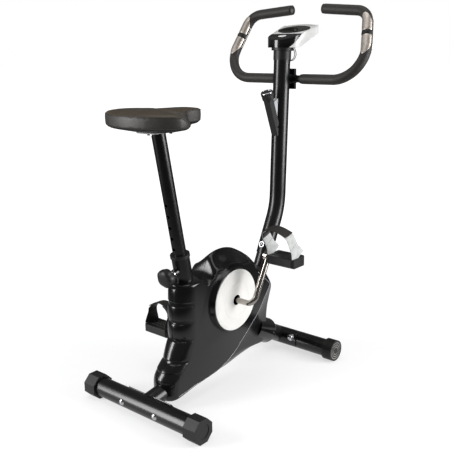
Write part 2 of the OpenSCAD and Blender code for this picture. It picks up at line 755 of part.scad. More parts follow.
module seat_bushing() {
    sleeve_end = vec(seat_foot, seat_dir, seat_tube_len);
    color("#232325") frame_shift() difference() {
        union() {
            bar(sleeve_end, vec(sleeve_end, seat_dir, 9), frame_r + 2.2);
            bar(vec(sleeve_end, seat_dir, -60), vec(sleeve_end, seat_dir, 1), bush_r);
        }
        bar(vec(seat_foot, seat_dir, seat_tube_len - 80), vec(sleeve_end, seat_dir, 20), seat_post_r + run);
        bar(seat_lock, vec(seat_lock, seat_back, 60), 5.4);
    }
}

module seat_post() {
    low = vec(seat_lock, seat_dir, -post_below);
    color("#1b1b1d") frame_shift() {
        difference() {
            bar(low, seat_top, seat_post_r);
            bar(low, seat_top, seat_post_r - seat_post_wall, 0, 1, 1);
            for (k = [-steps_up:steps_down + 1])
                bar(vec(seat_lock, seat_dir, k * hole_pitch),
                    vec(vec(seat_lock, seat_dir, k * hole_pitch), seat_back, 30), hole_r);
            translate([seat_top[0] - 60, -60, seat_top[1] - 4]) cube([120, 120, 60]);
        }
        // Flat plate welded on the post's top
        translate([seat_top[0] - 45, -32, seat_top[1] - 4]) cube([92, 64, 4]);
    }
}

// Saddle outline as [x from its back, half width share]
saddle_half = [[0, 0], [9, 0.45], [30, 0.77], [58, 0.96], [82, 1], [108, 0.93], [134, 0.73],
               [158, 0.46], [186, 0.3], [saddle_len - 22, 0.27], [saddle_len - 4, 0.19], [saddle_len, 0]];
saddle_back_x = seat_top[0] - 116.6;
saddle_z = seat_top[1] + 14;
saddle_ctrl = concat(saddle_half,
    [for (i = [len(saddle_half) - 2:-1:1]) [saddle_half[i][0], -saddle_half[i][1]]]);
saddle_outline = closed_curve(saddle_ctrl, 2);

// How far the top sinks at the front of the wings
function ease(t) = let (u = max(0, min(1, t))) u * u * (3 - 2 * u);
function wing_drop(x, y) = 29 * ease((x - 50) / 88) * ease((abs(y) - 0.3) / 0.5);
function nose_drop(x, h) = max(0, h - saddle_wall_h) * 0.65 * ease((x - 110) / 80);

// Ring of the saddle at share s of its outline, height h; the height sinks by d at the wings
function saddle_ring(s, h, d) = [for (p = saddle_outline)
    let (x = 100 + (p[0] - 100) * (1 + (s - 1) * 1.15))
    [saddle_back_x + x, saddle_half_w * p[1] * s, saddle_z + h - d * wing_drop(p[0], p[1]) - nose_drop(p[0], h)]];

module saddle_pad() {
    top = saddle_wall_h;
    color("#37302c") frame_shift() loft([
        saddle_ring(0.965, 0, 0), saddle_ring(0.985, 2, 0), saddle_ring(1, top * 0.5, 0.5),
        saddle_ring(1, top - 4, 1), saddle_ring(0.975, top, 1), saddle_ring(0.9, top + saddle_crown * 0.35, 1),
        saddle_ring(0.7, top + saddle_crown * 0.75, 0.9), saddle_ring(0.35, top + saddle_crown, 0.6)]);
}

// Moulded pan under the padding
module saddle_pan() {
    color("#171718") frame_shift() difference() {
        union() {
            loft([saddle_ring(0.62, -10, 0), saddle_ring(0.9, -3, 0), saddle_ring(0.95, 0, 0)]);
            translate([seat_top[0] - 50, -37, saddle_z - 14]) cube([102, 74, 8]);
        }
        for (p = [[-30, 0], [30, 20], [30, -20]]) translate([seat_top[0] + p[0], p[1], saddle_z - 15])
            cylinder(r = 3.1, h = 10);
    }
}

module saddle_nuts() {
    color("#bdbdc0") frame_shift()
        for (p = [[-30, 0], [30, 20], [30, -20]]) translate([seat_top[0] + p[0], p[1], seat_top[1] - 8.6])
            hex(6.4, 4.6);
}

pin_tip = seat_post_r + 0.35;
pin_head = frame_r + 9;
knob_r = 24;
knob_t = 24;
lobes = 5;

// Threaded lock pin with its collar
module lock_pin() {
    color("#b0b0b3") frame_shift() {
        bar(vec(seat_lock, seat_back, pin_tip), vec(seat_lock, seat_back, frame_r), 4.2);
        bar(vec(seat_lock, seat_back, bush_r + 0.4), vec(seat_lock, seat_back, pin_head), 6);
        bar(vec(seat_lock, seat_back, pin_head + gap), vec(seat_lock, seat_back, pin_head + 6), 9);
        bar(vec(seat_lock, seat_back, pin_head - 1), vec(seat_lock, seat_back, pin_head + 22), 6);
    }
}

// Lobed knob: a rounded disc with scallops round its edge
module lock_knob() {
    start = vec(seat_lock, seat_back, pin_head + 6 + gap);
    color("#222224") frame_shift() at(start) rotate([0, -90 - seat_lean, 0]) difference() {
        rotate_extrude() polygon([[6 + run, 0], [12, 0], [knob_r - 3, 4], [knob_r, 7], [knob_r, knob_t - 6],
            [knob_r - 2.5, knob_t - 3], [14, knob_t], [0, knob_t + 1], [0, 17], [6 + run, 17]]);
        for (i = [0:lobes - 1]) rotate([0, 0, (i + 0.5) * 360 / lobes]) translate([knob_r + 3.5, 0, -1])
            cylinder(r = 9, h = knob_t + 5);
    }
}

// ---- post and handlebar ----

// Upper straight part of the front post as a solid bar
module post_upper() bar(post_bend, post_top, frame_r);

// Section of the post, thinned by t on both faces
module tube_ring(t = 0) difference() {
    circle(r = frame_r - t);
    circle(r = frame_r - frame_wall + t);
}

module tube_run(a, b) {
    d = b - a;
    at(a) rotate([0, atan2(d[0], d[1]), 0]) linear_extrude(norm(d)) tube_ring();
}

// The bend stretches the wall a little; the straight parts reach into it by the overlap
bend_thinning = 0.04;
bend_overlap = 0.5;
module handlebar_post() {
    low = vec(post_bend, post_dir, -post_tangent);
    centre = vec(low, [-post_dir[1], post_dir[0]], post_bend_r);
    color("#17171a") frame_shift() difference() {
        union() {
            tube_run(post_low_end, vec(low, post_dir, bend_overlap));
            at(centre) rotate([90, 0, 0]) rotate([0, 0, -post_lean]) rotate_extrude(angle = post_turn, $fn = 96)
                translate([post_bend_r, 0]) tube_ring(bend_thinning);
            tube_run(vec(post_bend, post_top_dir, post_tangent - bend_overlap), post_top);
        }
        post_bolt_places() cylinder(r = 4.1, h = 14, center = true);
        at(post_at(712)) rotate([0, -90, 0]) cylinder(r = 2.6, h = 40);
        translate([post_at(935)[0], 0, 935]) rotate([0, 90, -32]) cylinder(r = 3, h = 40);
    }
}

module post_bolts() {
    color("#d0d0d3") frame_shift() {
        post_bolt_places() {
            translate([0, 0, -5]) cylinder(r = 4, h = 7);
            translate([0, 0, 1.05]) cylinder(r = 9, h = 1.5);
            translate([0, 0, 2.5]) difference() {
                dome(7.5, 4.5);
                translate([0, 0, 2]) hex(2.6, 4);
            }
        }
        clamp_bolt_places() {
            translate([0, 0, -3]) cylinder(r = 2.9, h = 26);
            translate([0, 0, 23]) hex(5.6, 4.5);
        }
    }
}

clamp_w = 50;
clamp_wall = 3;
clamp_split = 0.8;
clamp_bolt_z = bar_r + clamp_wall + 8;

module clamp_bolt_places() {
    for (s = [-1, 1]) at([bar_axis[0] - 8, bar_axis[1] + s * clamp_bolt_z]) rotate([0, 90, 0]) children();
}

module clamp_outline(x0, x1) {
    r = bar_r + clamp_wall;
    intersection() {
        union() {
            at(bar_axis) across(r, clamp_w);
            translate([bar_axis[0] - 5, -clamp_w / 2, bar_axis[1] - clamp_bolt_z - 9])
                cube([10, clamp_w, 2 * clamp_bolt_z + 18]);
            translate([bar_axis[0] - r - 6, -clamp_w / 2 + 6, bar_axis[1] - r]) cube([r, clamp_w - 12, 2 * r]);
        }
        translate([bar_axis[0] + x0, -clamp_w, bar_axis[1] - 60]) cube([x1 - x0, 2 * clamp_w, 120]);
    }
}

// Half clamp welded on the front of the post
module clamp_saddle() {
    color("#1a1a1c") frame_shift() difference() {
        clamp_outline(-60, -clamp_split);
        at(bar_axis) across(bar_r + run, clamp_w + 2);
        post_upper();
        clamp_bolt_places() cylinder(r = 3, h = 40, center = true);
    }
}

module clamp_cap() {
    color("#1a1a1c") frame_shift() difference() {
        clamp_outline(clamp_split, 60);
        at(bar_axis) across(bar_r + run, clamp_w + 2);
        clamp_bolt_places() cylinder(r = 3.1, h = 80, center = true);
    }
}

// Puts the loop's own plane in place: local x is y, local y is height along the tilt
module loop_plane() {
    at(bar_axis) rotate([0, bar_tilt, 0]) rotate([90, 0, 90]) children();
}

// Ring-shaped section from r_in to r_out; past x = from it is kept, the rest is cut away
module section(r_out, r_in, from = -100) {
    difference() {
        circle(r = r_out);
        circle(r = r_in);
        if (from > -r_out) translate([from - 100, -50]) square([100, 100]);
    }
}

// Straight run from a to b, reaching the overlap into the bends at its ends
module loop_bar(a, b, more_a = bend_overlap, more_b = bend_overlap) {
    d = b - a;
    translate([a[0], a[1], 0]) rotate([0, 0, atan2(d[1], d[0])]) rotate([90, 0, 90])
        translate([0, 0, -more_a]) linear_extrude(norm(d) + more_a + more_b) mirror([1, 0]) children();
}

module loop_arc(c, big, from, turn) {
    translate([c[0], c[1], 0]) rotate([0, 0, from]) rotate_extrude(angle = turn, $fn = 64)
        translate([big, 0]) children();
}

// One handlebar loop, from y0 to its end; r_out and r_in are its radii, thinner in the bends
module loop_form(y0, r_out, r_in) {
    if (y0 < loop_low[0]) loop_bar([y0, 0], loop_low, 0) section(r_out, r_in);
    loop_arc(loop_low_c, bar_low_bend, -90, 90 + side_lean)
        section(r_out - bend_thinning, r_in + bend_thinning);
    loop_bar(loop_side_a, loop_side_b) section(r_out, r_in);
    loop_arc(loop_top_c, bar_top_bend, side_lean, 90 - end_rise - side_lean)
        section(r_out - bend_thinning, r_in + bend_thinning);
    loop_bar(loop_top_a, loop_top_b, bend_overlap, 0) section(r_out, r_in);
}

module handlebar() {
    color("#1a1a1b") frame_shift() {
        at(bar_axis) difference() {
            across(bar_r, 2 * bar_straight + 2 * bend_overlap);
            across(bar_r - 2, 2 * bar_straight + 3);
        }
        left_right() loop_plane() loop_form(bar_straight, bar_r, bar_r - 2);
    }
}

module grip() loop_plane() loop_form(grip_start, grip_r, bar_r + 0.05);

module grip_left() color("#2d2b29") frame_shift() grip();
module grip_right() color("#2d2b29") frame_shift() mirror([0, 1, 0]) grip();

module bar_plug() {
    d = unit(loop_top_b - loop_top_a);
    loop_plane() translate([loop_top_b[0], loop_top_b[1], 0]) rotate([0, 0, atan2(d[1], d[0])]) rotate([0, 90, 0]) {
        dome(grip_r - 0.6, 5);
        translate([0, 0, -14]) cylinder(r = bar_r - 2, h = 14.5);
    }
}

module bar_plugs() color("#262626") frame_shift() left_right() bar_plug();

// Steel pulse plates: two face the rider, a long one the front; their far ends are pointed
plate_t = 1;
plate_gap = 10;
plate_half = 80;
plate_fit = 0.2;
rider_side = -90;
front_side = 90;

// Section of a plate at point c of the loop, whose outward direction is n, half degrees each way of mid
function plate_ring(c, n, mid, half) =
    let (k = cos(plate_half / 14), far = (grip_r + plate_fit + plate_t) / k, near = (grip_r + plate_fit) / k)
    concat([for (i = [-7:7]) plate_point(c, n, mid + half * i / 7, far)],
           [for (i = [7:-1:-7]) plate_point(c, n, mid + half * i / 7, near)]);
function plate_point(c, n, a, r) = [c[0] + n[0] * r * cos(a), c[1] + n[1] * r * cos(a), r * sin(a)];
function arc_station(c, big, a, share) = [c + big * dir(a), dir(a), plate_half * share];

// Curved plate through the stations; its ends are strips of small flat faces
module loft_plate(stations, mid) {
    rings = [for (t = stations) plate_ring(t[0], t[1], mid, t[2])];
    n = len(rings[0]);
    last = len(rings) - 1;
    sides = [for (r = [0:last - 1], i = [0:n - 1])
        [r * n + i, r * n + (i + 1) % n, (r + 1) * n + (i + 1) % n, (r + 1) * n + i]];
    ends = [for (i = [0:n / 2 - 2]) each [[n - 1 - i, n - 2 - i, i + 1, i],
        [last * n + i, last * n + i + 1, last * n + n - 2 - i, last * n + n - 1 - i]]];
    polyhedron(points = [for (r = rings, p = r) p], faces = concat(sides, ends), convexity = 8);
}

plate_shares = [0.12, 0.42, 0.66, 0.84, 0.95];
module pulse_plates() {
    half = (norm(loop_side_b - loop_side_a) - plate_gap) / 2;
    d = unit(loop_side_b - loop_side_a);
    n = dir(side_lean);
    low = [for (i = [0:4]) arc_station(loop_low_c, bar_low_bend, side_lean - 20 + i * 4.4, plate_shares[i])];
    high = [for (i = [0:4]) arc_station(loop_top_c, bar_top_bend, side_lean + 30 - i * 6.2, plate_shares[i])];
    below = concat(low, [[loop_side_a, n, plate_half], [loop_side_a + d * half, n, plate_half]]);
    above = concat([[loop_side_b - d * half, n, plate_half], [loop_side_b, n, plate_half]],
                   [for (i = [4:-1:0]) high[i]]);
    color("#b9b4ae") frame_shift() left_right() loop_plane() {
        loft_plate(below, rider_side);
        loft_plate(above, rider_side);
        loft_plate(concat(below, above), front_side);
    }
}

// ---- console ----

neck_z = post_top_z - 26;
neck_r = frame_r + 1.6;
console_rear_z = 997;
console_rear_x = post_top[0] - 36.4;
console_nose_r = 56;
console_mid_x = console_rear_x + console_nose_r;
console_front_x = console_rear_x + console_len;
face_dir = dir(console_slope);
function face_z(x) = console_rear_z + (x - console_rear_x) * tan(console_slope);
split_x = console_mid_x + 2;
console_floor_z = console_rear_z - 22;
console_rise_x = console_rear_x + 46;
button_x = console_rear_x + 35;
lens_x = console_rear_x + 95;
face_t = 3;
// Height of the underside at x
function under_z(x) = console_floor_z + max(0, x - console_rise_x)
    * (face_z(console_front_x) - 22 - console_floor_z) / (console_front_x - console_rise_x);

// Sleeve between post and console, with a collar under the console
module console_neck() {
    color("#161618") frame_shift() difference() {
        union() {
            bar(post_at(neck_z), post_at(console_floor_z + 20), neck_r);
            bar(post_at(console_floor_z - 9), post_at(console_floor_z + 20), neck_r + 6.5);
        }
        bar(post_at(neck_z), post_at(console_floor_z + 20), frame_r - 5, 0, 1, 1);
        bar(post_at(neck_z), post_at(post_top_z), frame_r + 0.02, 0, 1, 0);
        translate([post_at(935)[0], 0, 935]) rotate([0, 90, -32]) cylinder(r = 3, h = 40);
        console_form(0);
    }
}

// Plan of the console, shrunk by w: a round nose that widens to the front
console_flare = asin((console_half_w - console_nose_r) / (console_len - 24 - console_nose_r));
module console_plan(w) {
    corner = console_front_x - 24;
    big = 150;
    last = asin((console_half_w - 7) / big);
    side = [corner, console_half_w - w];
    polygon(concat(
        [for (i = [0:24]) [console_mid_x, 0]
            + (console_nose_r - w) * dir(90 + console_flare + (180 - 2 * console_flare) * i / 24)],
        [[side[0], -side[1]], [side[0] + 11, 1.2 - side[1]]],
        [for (i = [-6:6]) [console_front_x - big, 0] + (big - w) * dir(last * i / 6)],
        [[side[0] + 11, side[1] - 1.2], side]));
}

// Side view of the console: flat floor at the neck, then rising to the front; moved in by w
module console_side(w) {
    polygon([[console_rear_x - 5, console_floor_z + w], [console_rise_x, console_floor_z + w],
             [console_front_x + 5, under_z(console_front_x + 5) + w],
             [console_front_x + 5, face_z(console_front_x + 5) - w],
             [console_rear_x - 5, face_z(console_rear_x - 5) - w]]);
}

module console_form(w) {
    intersection() {
        translate([0, 0, 900]) linear_extrude(200) console_plan(w);
        plate(-100, 100) console_side(w);
    }
}

// Everything in front of the slanting line between the black and the white shell
module white_zone(more) {
    plate(-100, 100) polygon([[split_x + more, 1100], [split_x + more, face_z(split_x) - 4],
        [split_x - 30 + more, console_floor_z + 12 + more],
        [console_front_x + 20, under_z(console_front_x + 20) + 3 + more],
        [console_front_x + 20, 1100]]);
}

module lens_outline(w) {
    k = (lens_half_w * lens_half_w - lens_half_d * lens_half_d) / (2 * lens_half_d);
    arc_r = lens_half_d + k;
    intersection() {
        translate([-k, 0]) circle(r = arc_r - w, $fn = 160);
        translate([k, 0]) circle(r = arc_r - w, $fn = 160);
        circle(r = lens_half_w - w - 3, $fn = 96);
    }
}

// Puts children on the console's face at distance x; local z is the face's normal
module on_face(x, depth) {
    translate([x, 0, face_z(x)]) rotate([0, -console_slope, 0]) translate([0, 0, -depth]) children();
}

module console_top() {
    color("#ededeb") frame_shift() difference() {
        intersection() {
            console_form(0);
            white_zone(0);
        }
        console_form(face_t);
        on_face(lens_x, 6) linear_extrude(8) lens_outline(0);
    }
}

module console_lens() {
    color("#15181a") frame_shift() on_face(lens_x, face_t + 0.5) linear_extrude(face_t) lens_outline(0.15);
}

module button_outline(w) {
    intersection() {
        square([17 - 2 * w, 60], center = true);
        union() {
            square([16.8 - 2 * w, 12], center = true);
            for (s = [-1, 1]) translate([0, s * 6]) circle(r = 8.4 - w);
        }
    }
}

module console_base() {
    color("#121214") frame_shift() difference() {
        console_form(0);
        console_form(face_t);
        intersection() {
            console_form(-5);
            white_zone(-0.06);
        }
        on_face(button_x, 8) linear_extrude(12) button_outline(0);
        bar(post_at(neck_z), post_at(console_floor_z + 6), frame_r - 5, 0, 0, 0);
        for (s = [0, 1]) translate([wire_x, wire_y[s], console_floor_z - 5]) cylinder(r = 1.6, h = 34);
    }
}

// Circuit board on four pillars; its tongue reaches under the button
module console_board() {
    depth = face_t + 5.6;
    board_t = 1.6;
    color("#2f5a3a") frame_shift() on_face(lens_x - 6, depth) {
        translate([-22, -44, 0]) cube([54, 88, board_t]);
        translate([button_x - lens_x - 4, -11, 0]) cube([lens_x - button_x - 16, 22, board_t]);
        translate([-14, -36, board_t - eps]) cube([38, 72, 1.6]);
        for (x = [-19, 27.8], y = [-42, 42]) translate([x, y, board_t - eps]) cylinder(r = 2, h = 4);
    }
}

module console_button() {
    color("#e8e8e6") frame_shift() {
        on_face(button_x, 1.5) linear_extrude(3) button_outline(0.35);
        on_face(button_x, 5) linear_extrude(4) button_outline(3);
    }
}

// Two thin wires from the console's underside into the post
wire_x = post_at(970)[0] + 36;
wire_y = [-15, -20];
module console_wires() {
    color("#151515") frame_shift() for (i = [0, 1]) {
        y = wire_y[i];
        x1 = post_at(935)[0] + 22.5 - i * 1.5;
        sweep([[wire_x, y, under_z(wire_x) + 3.6], [wire_x, y, console_floor_z - 2], [wire_x + 4 + i, y - 1, 962],
               [wire_x + 5 + i, y - 2, 953], [wire_x + 2, y - 1.5, 944], [wire_x - 6, y, 937.5 - i],
               [x1, -14 - i * 2.2, 935.6 - i]], 1.1);
    }
}

// ---- tension control ----

tension_low = [post_at(722)[0] - frame_r + 6, 722];
tension_dir = up_at(-21.6);
tension_high = vec(tension_low, tension_dir, tension_len);

module tension_body() {
    color("#2a2b2d") frame_shift() difference() {
        union() {
            at(tension_low) rotate([0, -21.6, 0]) intersection() {
                translate([-11, -tension_w / 2, -10]) cube([22, tension_w, tension_len + 10]);
                translate([-2, 0, -20]) cylinder(r = 16, h = 200);
            }
            bar(tension_high, vec(tension_high, tension_dir, 3), 12.5);
            bar(vec(tension_high, tension_dir, 2), vec(tension_high, tension_dir, 14), 5);
        }
        post_upper();
        at(vec(tension_low, tension_dir, 16)) translate([-20, -tension_w / 2 + 2, 0]) rotate([90, 0, 0])
            translate([20, 0, 0]) cylinder(r = 3.4, h = 10);
    }
}

module tension_web() {
    a = vec(tension_low, tension_dir, tension_len - 14);
    color("#c4c7ca") frame_shift() difference() {
        plate(-7, 7) polygon([a, [post_at(830)[0] - 10, 830], [post_at(722)[0] - 10, 722], tension_low]);
        at(tension_low) rotate([0, -21.6, 0]) translate([-80, -40, -60]) cube([91, 80, tension_len + 90]);
        post_upper();
    }
}

module tension_knob() {
    start = vec(tension_high, tension_dir, 3 + gap);
    ribs = 20;
    color("#242426") frame_shift() at(start) rotate([0, -21.6, 0]) difference() {
        union() {
            cylinder(r1 = tension_knob_r - 1.5, r2 = tension_knob_r, h = 22);
            translate([0, 0, 22]) dome(tension_knob_r - 0.8, 2.4);
        }
        translate([0, 0, -1]) cylinder(r = 5 + run, h = 15);
        for (i = [0:ribs - 1]) rotate([0, 0, i * 360 / ribs]) translate([tension_knob_r + 0.5, 0, 3])
            cylinder(r = 1.7, h = 30, $fn = 16);
        translate([0, 0, 23.2]) cylinder(r = 10, h = 5);
    }
}

// ---- crank, pedals, drive ----

// One crank arm at y > 0: bend, straight bar and eye; the bar is a little thinner in the bend
module crank_arm() {
    eye_r = 14;
    start = arm_y - crank_bend;
    translate([crank_bend, start, 0]) rotate([0, 0, 90]) rotate_extrude(angle = 90, $fn = 64)
        translate([crank_bend, 0]) circle(r = crank_bar_r - bend_thinning);
    translate([crank_bend - bend_overlap, arm_y, 0]) rotate([0, 90, 0])
        cylinder(r = crank_bar_r, h = crank_len - crank_bend + bend_overlap);
    translate([crank_len, 0, 0]) across_from(eye_r, arm_y - crank_bar_r - 1.5, arm_y + crank_bar_r + 1.5);
}

module crank() {
    color("#d4d4d6") frame_shift() difference() {
        union() {
            at(crank_axis) across(crank_bar_r, 2 * (arm_y - crank_bend + bend_overlap));
            at(crank_axis) rotate([0, -crank_angle, 0]) mirror([0, 1, 0]) crank_arm();
            at(crank_axis) rotate([0, 180 - crank_angle, 0]) crank_arm();
        }
        for (p = [right_eye, left_eye]) at(p) across(pedal_axle_r, 400);
    }
}

module pedal_axle() {
    across_from(pedal_axle_r, arm_y - crank_bar_r - 1.5, pedal_in_y + pedal_len - 12);
    across_from(9, arm_y + crank_bar_r + 1.5, arm_y + crank_bar_r + 4.5);
}

module pedal_axles() {
    color("#9c9c9f") frame_shift() {
        at(left_eye) pedal_axle();
        at(right_eye) mirror([0, 1, 0]) pedal_axle();
    }
}

// Pedal at y > 0, centred on its axle
module pedal() {
    cut = 9;
    difference() {
        translate([0, pedal_in_y, 0]) rotate([-90, 0, 0]) linear_extrude(pedal_len) polygon([
            [-pedal_w / 2, -pedal_h / 2 + 2], [-pedal_w / 2 + 2, -pedal_h / 2], [pedal_w / 2 - 2, -pedal_h / 2],
            [pedal_w / 2, -pedal_h / 2 + 2], [pedal_w / 2, pedal_h / 2 - 6], [pedal_w / 2 - 8, pedal_h / 2],
            [-pedal_w / 2 + 8, pedal_h / 2], [-pedal_w / 2, pedal_h / 2 - 6]]);
        across_from(pedal_axle_r + run, pedal_in_y - 1, pedal_in_y + pedal_len - 10);
        // Sunk tread with its ribs
        for (i = [0:3]) translate([-pedal_w / 2 + 9 + i * (pedal_w - 16) / 4, pedal_in_y + 12, pedal_h / 2 - 1.5])
            cube([(pedal_w - 16) / 4 - 2, pedal_len - 24, 3]);
        for (s = [-1, 1]) translate([s * pedal_w / 2, pedal_in_y + pedal_len, 0]) rotate([0, 0, 45])
            cube([cut, cut, pedal_h + 2], center = true);
    }
}

// Strap over the foot: an arch with wide feet, leaning back, and a tongue
module strap() {
    t = 2.6;
    low = pedal_in_y + 2.5;
    high = pedal_in_y + pedal_len - 2.5;
    span = high - low;
    bow = span / 2;
    rise = strap_h - bow * 0.62;
    foot_w = 58;
    top_w = 34;
    translate([0, 0, pedal_h / 2]) difference() {
        rotate([0, -strap_lean, 0]) union() {
            intersection() {
                translate([-40, (low + high) / 2, 0]) rotate([90, 0, 90]) linear_extrude(80) difference() {
                    union() {
                        translate([-span / 2, -40]) square([span, 40 + rise]);
                        translate([0, rise - bow * 0.62]) intersection() {
                            circle(r = norm([bow, bow * 0.62]), $fn = 96);
                            translate([-bow, bow * 0.62]) square([2 * bow, 100]);
                        }
                    }
                    translate([-span / 2 + t, -50]) square([span - 2 * t, 50 + rise]);
                    translate([0, rise - bow * 0.62]) intersection() {
                        circle(r = norm([bow, bow * 0.62]) - t, $fn = 96);
                        translate([-bow + t, bow * 0.62 - 1]) square([2 * bow - 2 * t, 100]);
                    }
                }
                translate([0, high + 20, 0]) rotate([90, 0, 0]) linear_extrude(span + 60)
                    polygon([[-foot_w / 2 - 4, -40], [-foot_w / 2, 0], [-top_w / 2 - 2, strap_h * 0.36],
                             [-top_w / 2, strap_h * 0.6], [-top_w / 2, strap_h + 30], [top_w / 2, strap_h + 30],
                             [top_w / 2, strap_h * 0.6], [top_w / 2 + 2, strap_h * 0.36], [foot_w / 2, 0],
                             [foot_w / 2 + 4, -40]]);
            }
            // Loose tongue past the outer foot
            translate([-top_w / 2 + 2, (low + high) / 2, 0]) rotate([90, 0, 90]) linear_extrude(top_w - 4)
                translate([0, rise - bow * 0.62]) intersection() {
                    difference() {
                        circle(r = norm([bow, bow * 0.62]) + t, $fn = 96);
                        circle(r = norm([bow, bow * 0.62]), $fn = 96);
                    }
                    translate([-6, bow * 0.5]) square([bow + 8, 100]);
                }
        }
        translate([-100, 0, -200]) cube([200, 400, 200]);
    }
}

module pedal_left() color("#262627") frame_shift() at(left_eye) pedal();
module pedal_right() color("#262627") frame_shift() at(right_eye) mirror([0, 1, 0]) pedal();
module strap_left() color("#2c2c2c") frame_shift() at(left_eye) mirror([1, 0, 0]) strap();
module strap_right() color("#c8c8c6") frame_shift() at(right_eye) mirror([0, 1, 0]) strap();

module drive_pulley() {
    rim = 9;
    color("#303033") frame_shift() at(crank_axis) difference() {
        union() {
            ring_across(pulley_r, pulley_r - rim, belt_y - 6, belt_y + 6);
            across(pulley_r - rim + 1, 4, belt_y);
            across_from(17, belt_y - 7, belt_y + 7);
            // Sensor magnet
            translate([-pulley_r + 20, 0, 0]) across_from(4, belt_y - 5, belt_y - 2);
        }
        across(crank_bar_r, 100);
        for (i = [0:5]) rotate([0, i * 60 + 30, 0]) translate([43, 0, 0]) across(14, 100);
    }
}

module flywheel() {
    color("#6d6e70") frame_shift() at(fly_axis) difference() {
        union() {
            ring_across(flywheel_r, flywheel_r - 17, fly_y - flywheel_t / 2, fly_y + flywheel_t / 2);
            across(flywheel_r - 16, 6, fly_y);
            across(16, flywheel_t, fly_y);
        }
        across(axle_r, 200);
    }
}

// Axle with the small pulley and its nuts
module flywheel_axle() {
    color("#8f9093") frame_shift() at(fly_axis) {
        across_from(axle_r, fly_y - 8, belt_y + 8);
        ring_across(small_pulley_r, axle_r - eps, belt_y - 6, belt_y + 6);
        translate([0, fly_y - flywheel_t / 2, 0]) rotate([90, 0, 0]) hex(9, 1.8);
    }
}

rear_stabiliser();
rear_cap_left();
rear_cap_right();
front_stabiliser();
roller_plugs();
stabiliser_bolts();
base_tube();
front_tube();
seat_tube();
post_stub();
crank_bracket();
bearings();
flywheel_bracket();
drive_belt();
brake_band();
brake_spring();
brake_cable();
speed_sensor();
housing_left();
housing_right();
housing_screws();
side_cover_left();
side_cover_right();
seat_bushing();
handlebar_post();
post_bolts();
clamp_saddle();
clamp_cap();
console_neck();
console_base();
console_top();
console_lens();
console_board();
console_wires();
tension_body();
tension_web();
crank();
drive_pulley();
pedal_axles();
flywheel();
flywheel_axle();
pedal_left();
strap_left();
pedal_right();
strap_right();
seat_post();
saddle_pan();
saddle_pad();
saddle_nuts();
lock_pin();
lock_knob();
handlebar();
grip_left();
grip_right();
pulse_plates();
bar_plugs();
tension_knob();
console_button();
roller_left();
roller_right();
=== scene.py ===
import json
import math

import bmesh
import bpy
from mathutils import Matrix, Vector, noise
from mathutils.bvhtree import BVHTree

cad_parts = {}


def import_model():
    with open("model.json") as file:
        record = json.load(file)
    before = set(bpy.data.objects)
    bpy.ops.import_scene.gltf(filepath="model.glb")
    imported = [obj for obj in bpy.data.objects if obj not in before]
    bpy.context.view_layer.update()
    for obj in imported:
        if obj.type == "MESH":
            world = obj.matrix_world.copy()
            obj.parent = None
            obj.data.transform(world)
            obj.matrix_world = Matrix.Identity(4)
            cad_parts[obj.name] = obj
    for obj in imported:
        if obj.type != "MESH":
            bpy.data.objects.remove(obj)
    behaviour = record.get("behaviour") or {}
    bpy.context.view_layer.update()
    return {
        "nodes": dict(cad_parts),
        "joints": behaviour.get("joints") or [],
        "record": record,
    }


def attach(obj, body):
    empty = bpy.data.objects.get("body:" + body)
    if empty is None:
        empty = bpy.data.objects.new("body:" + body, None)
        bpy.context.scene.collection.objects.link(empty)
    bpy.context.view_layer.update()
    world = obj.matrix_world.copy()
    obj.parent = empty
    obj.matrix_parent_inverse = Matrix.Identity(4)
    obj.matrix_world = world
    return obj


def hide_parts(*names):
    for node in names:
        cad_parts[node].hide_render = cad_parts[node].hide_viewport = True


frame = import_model()
nodes = frame["nodes"]

MM = 0.001
MID_X = 372.823                        # distance from the rear floor tube's axis to the origin, mm
SIDES = ((1, "left"), (-1, "right"))   # sign of y on each side, and its name
joints = {j["child"]: j for j in frame["joints"]}


def world(x, y, z):
    """A point given in mm from the rear floor tube's axis, in the frame's metres."""
    return Vector(((x - MID_X) * MM, y * MM, z * MM))


def joint_at(body):
    """Where a body turns or slides, x and z in mm from the rear floor tube's axis."""
    x, _, z = joints[body]["pos_m"]
    return x / MM + MID_X, z / MM


def along_joint(body, out):
    """Point out mm from a body's joint along its axis, in the frame's metres, and that axis."""
    axis = Vector(joints[body]["axis"])
    return Vector(joints[body]["pos_m"]) + axis * out * MM, axis


CRANK = joint_at("crank")


# ---------------------------------------------------------------- materials

def linear(code):
    """Linear colour of an sRGB hex code."""
    out = []
    for i in (1, 3, 5):
        c = int(code[i:i + 2], 16) / 255
        out.append(c / 12.92 if c <= 0.04045 else ((c + 0.055) / 1.055) ** 2.4)
    return (*out, 1.0)


def tint(colour, by):
    """The colour made lighter or darker by a factor."""
    return tuple(min(1, c * by) for c in colour[:3]) + (1,)


def scale_for(size):
    """Scale of a texture whose grains, cells or clouds are size mm wide."""
    return 1 / (size * MM)


class Material:
    """A material of nodes; the name of a socket is written with _ for each space."""

    def __init__(self, name):
        self.mat = bpy.data.materials.new(name)
        self.mat.use_nodes = True
        self.tree = self.mat.node_tree
        self.shader = self.tree.nodes["Principled BSDF"]

    def add(self, kind, settings=None, stops=(), **inputs):
        """A new node with its settings, the stops of its ramp, its values and its links."""
        n = self.tree.nodes.new("ShaderNode" + kind)
        for k, v in (settings or {}).items():
            setattr(n, k, v)
        for i, (position, colour) in enumerate(stops):
            n.color_ramp.elements[i].position = position
            n.color_ramp.elements[i].color = colour
        self.put(n, **inputs)
        return n

    def put(self, node, **inputs):
        """Gives inputs their values, or links them to an output or to a node's first output."""
        for k, v in inputs.items():
            s = node.inputs[k.replace("_", " ")]
            if isinstance(v, bpy.types.Node):
                v = v.outputs[0]
            if isinstance(v, bpy.types.NodeSocket):
                self.tree.links.new(v, s)
            else:
                s.default_value = v


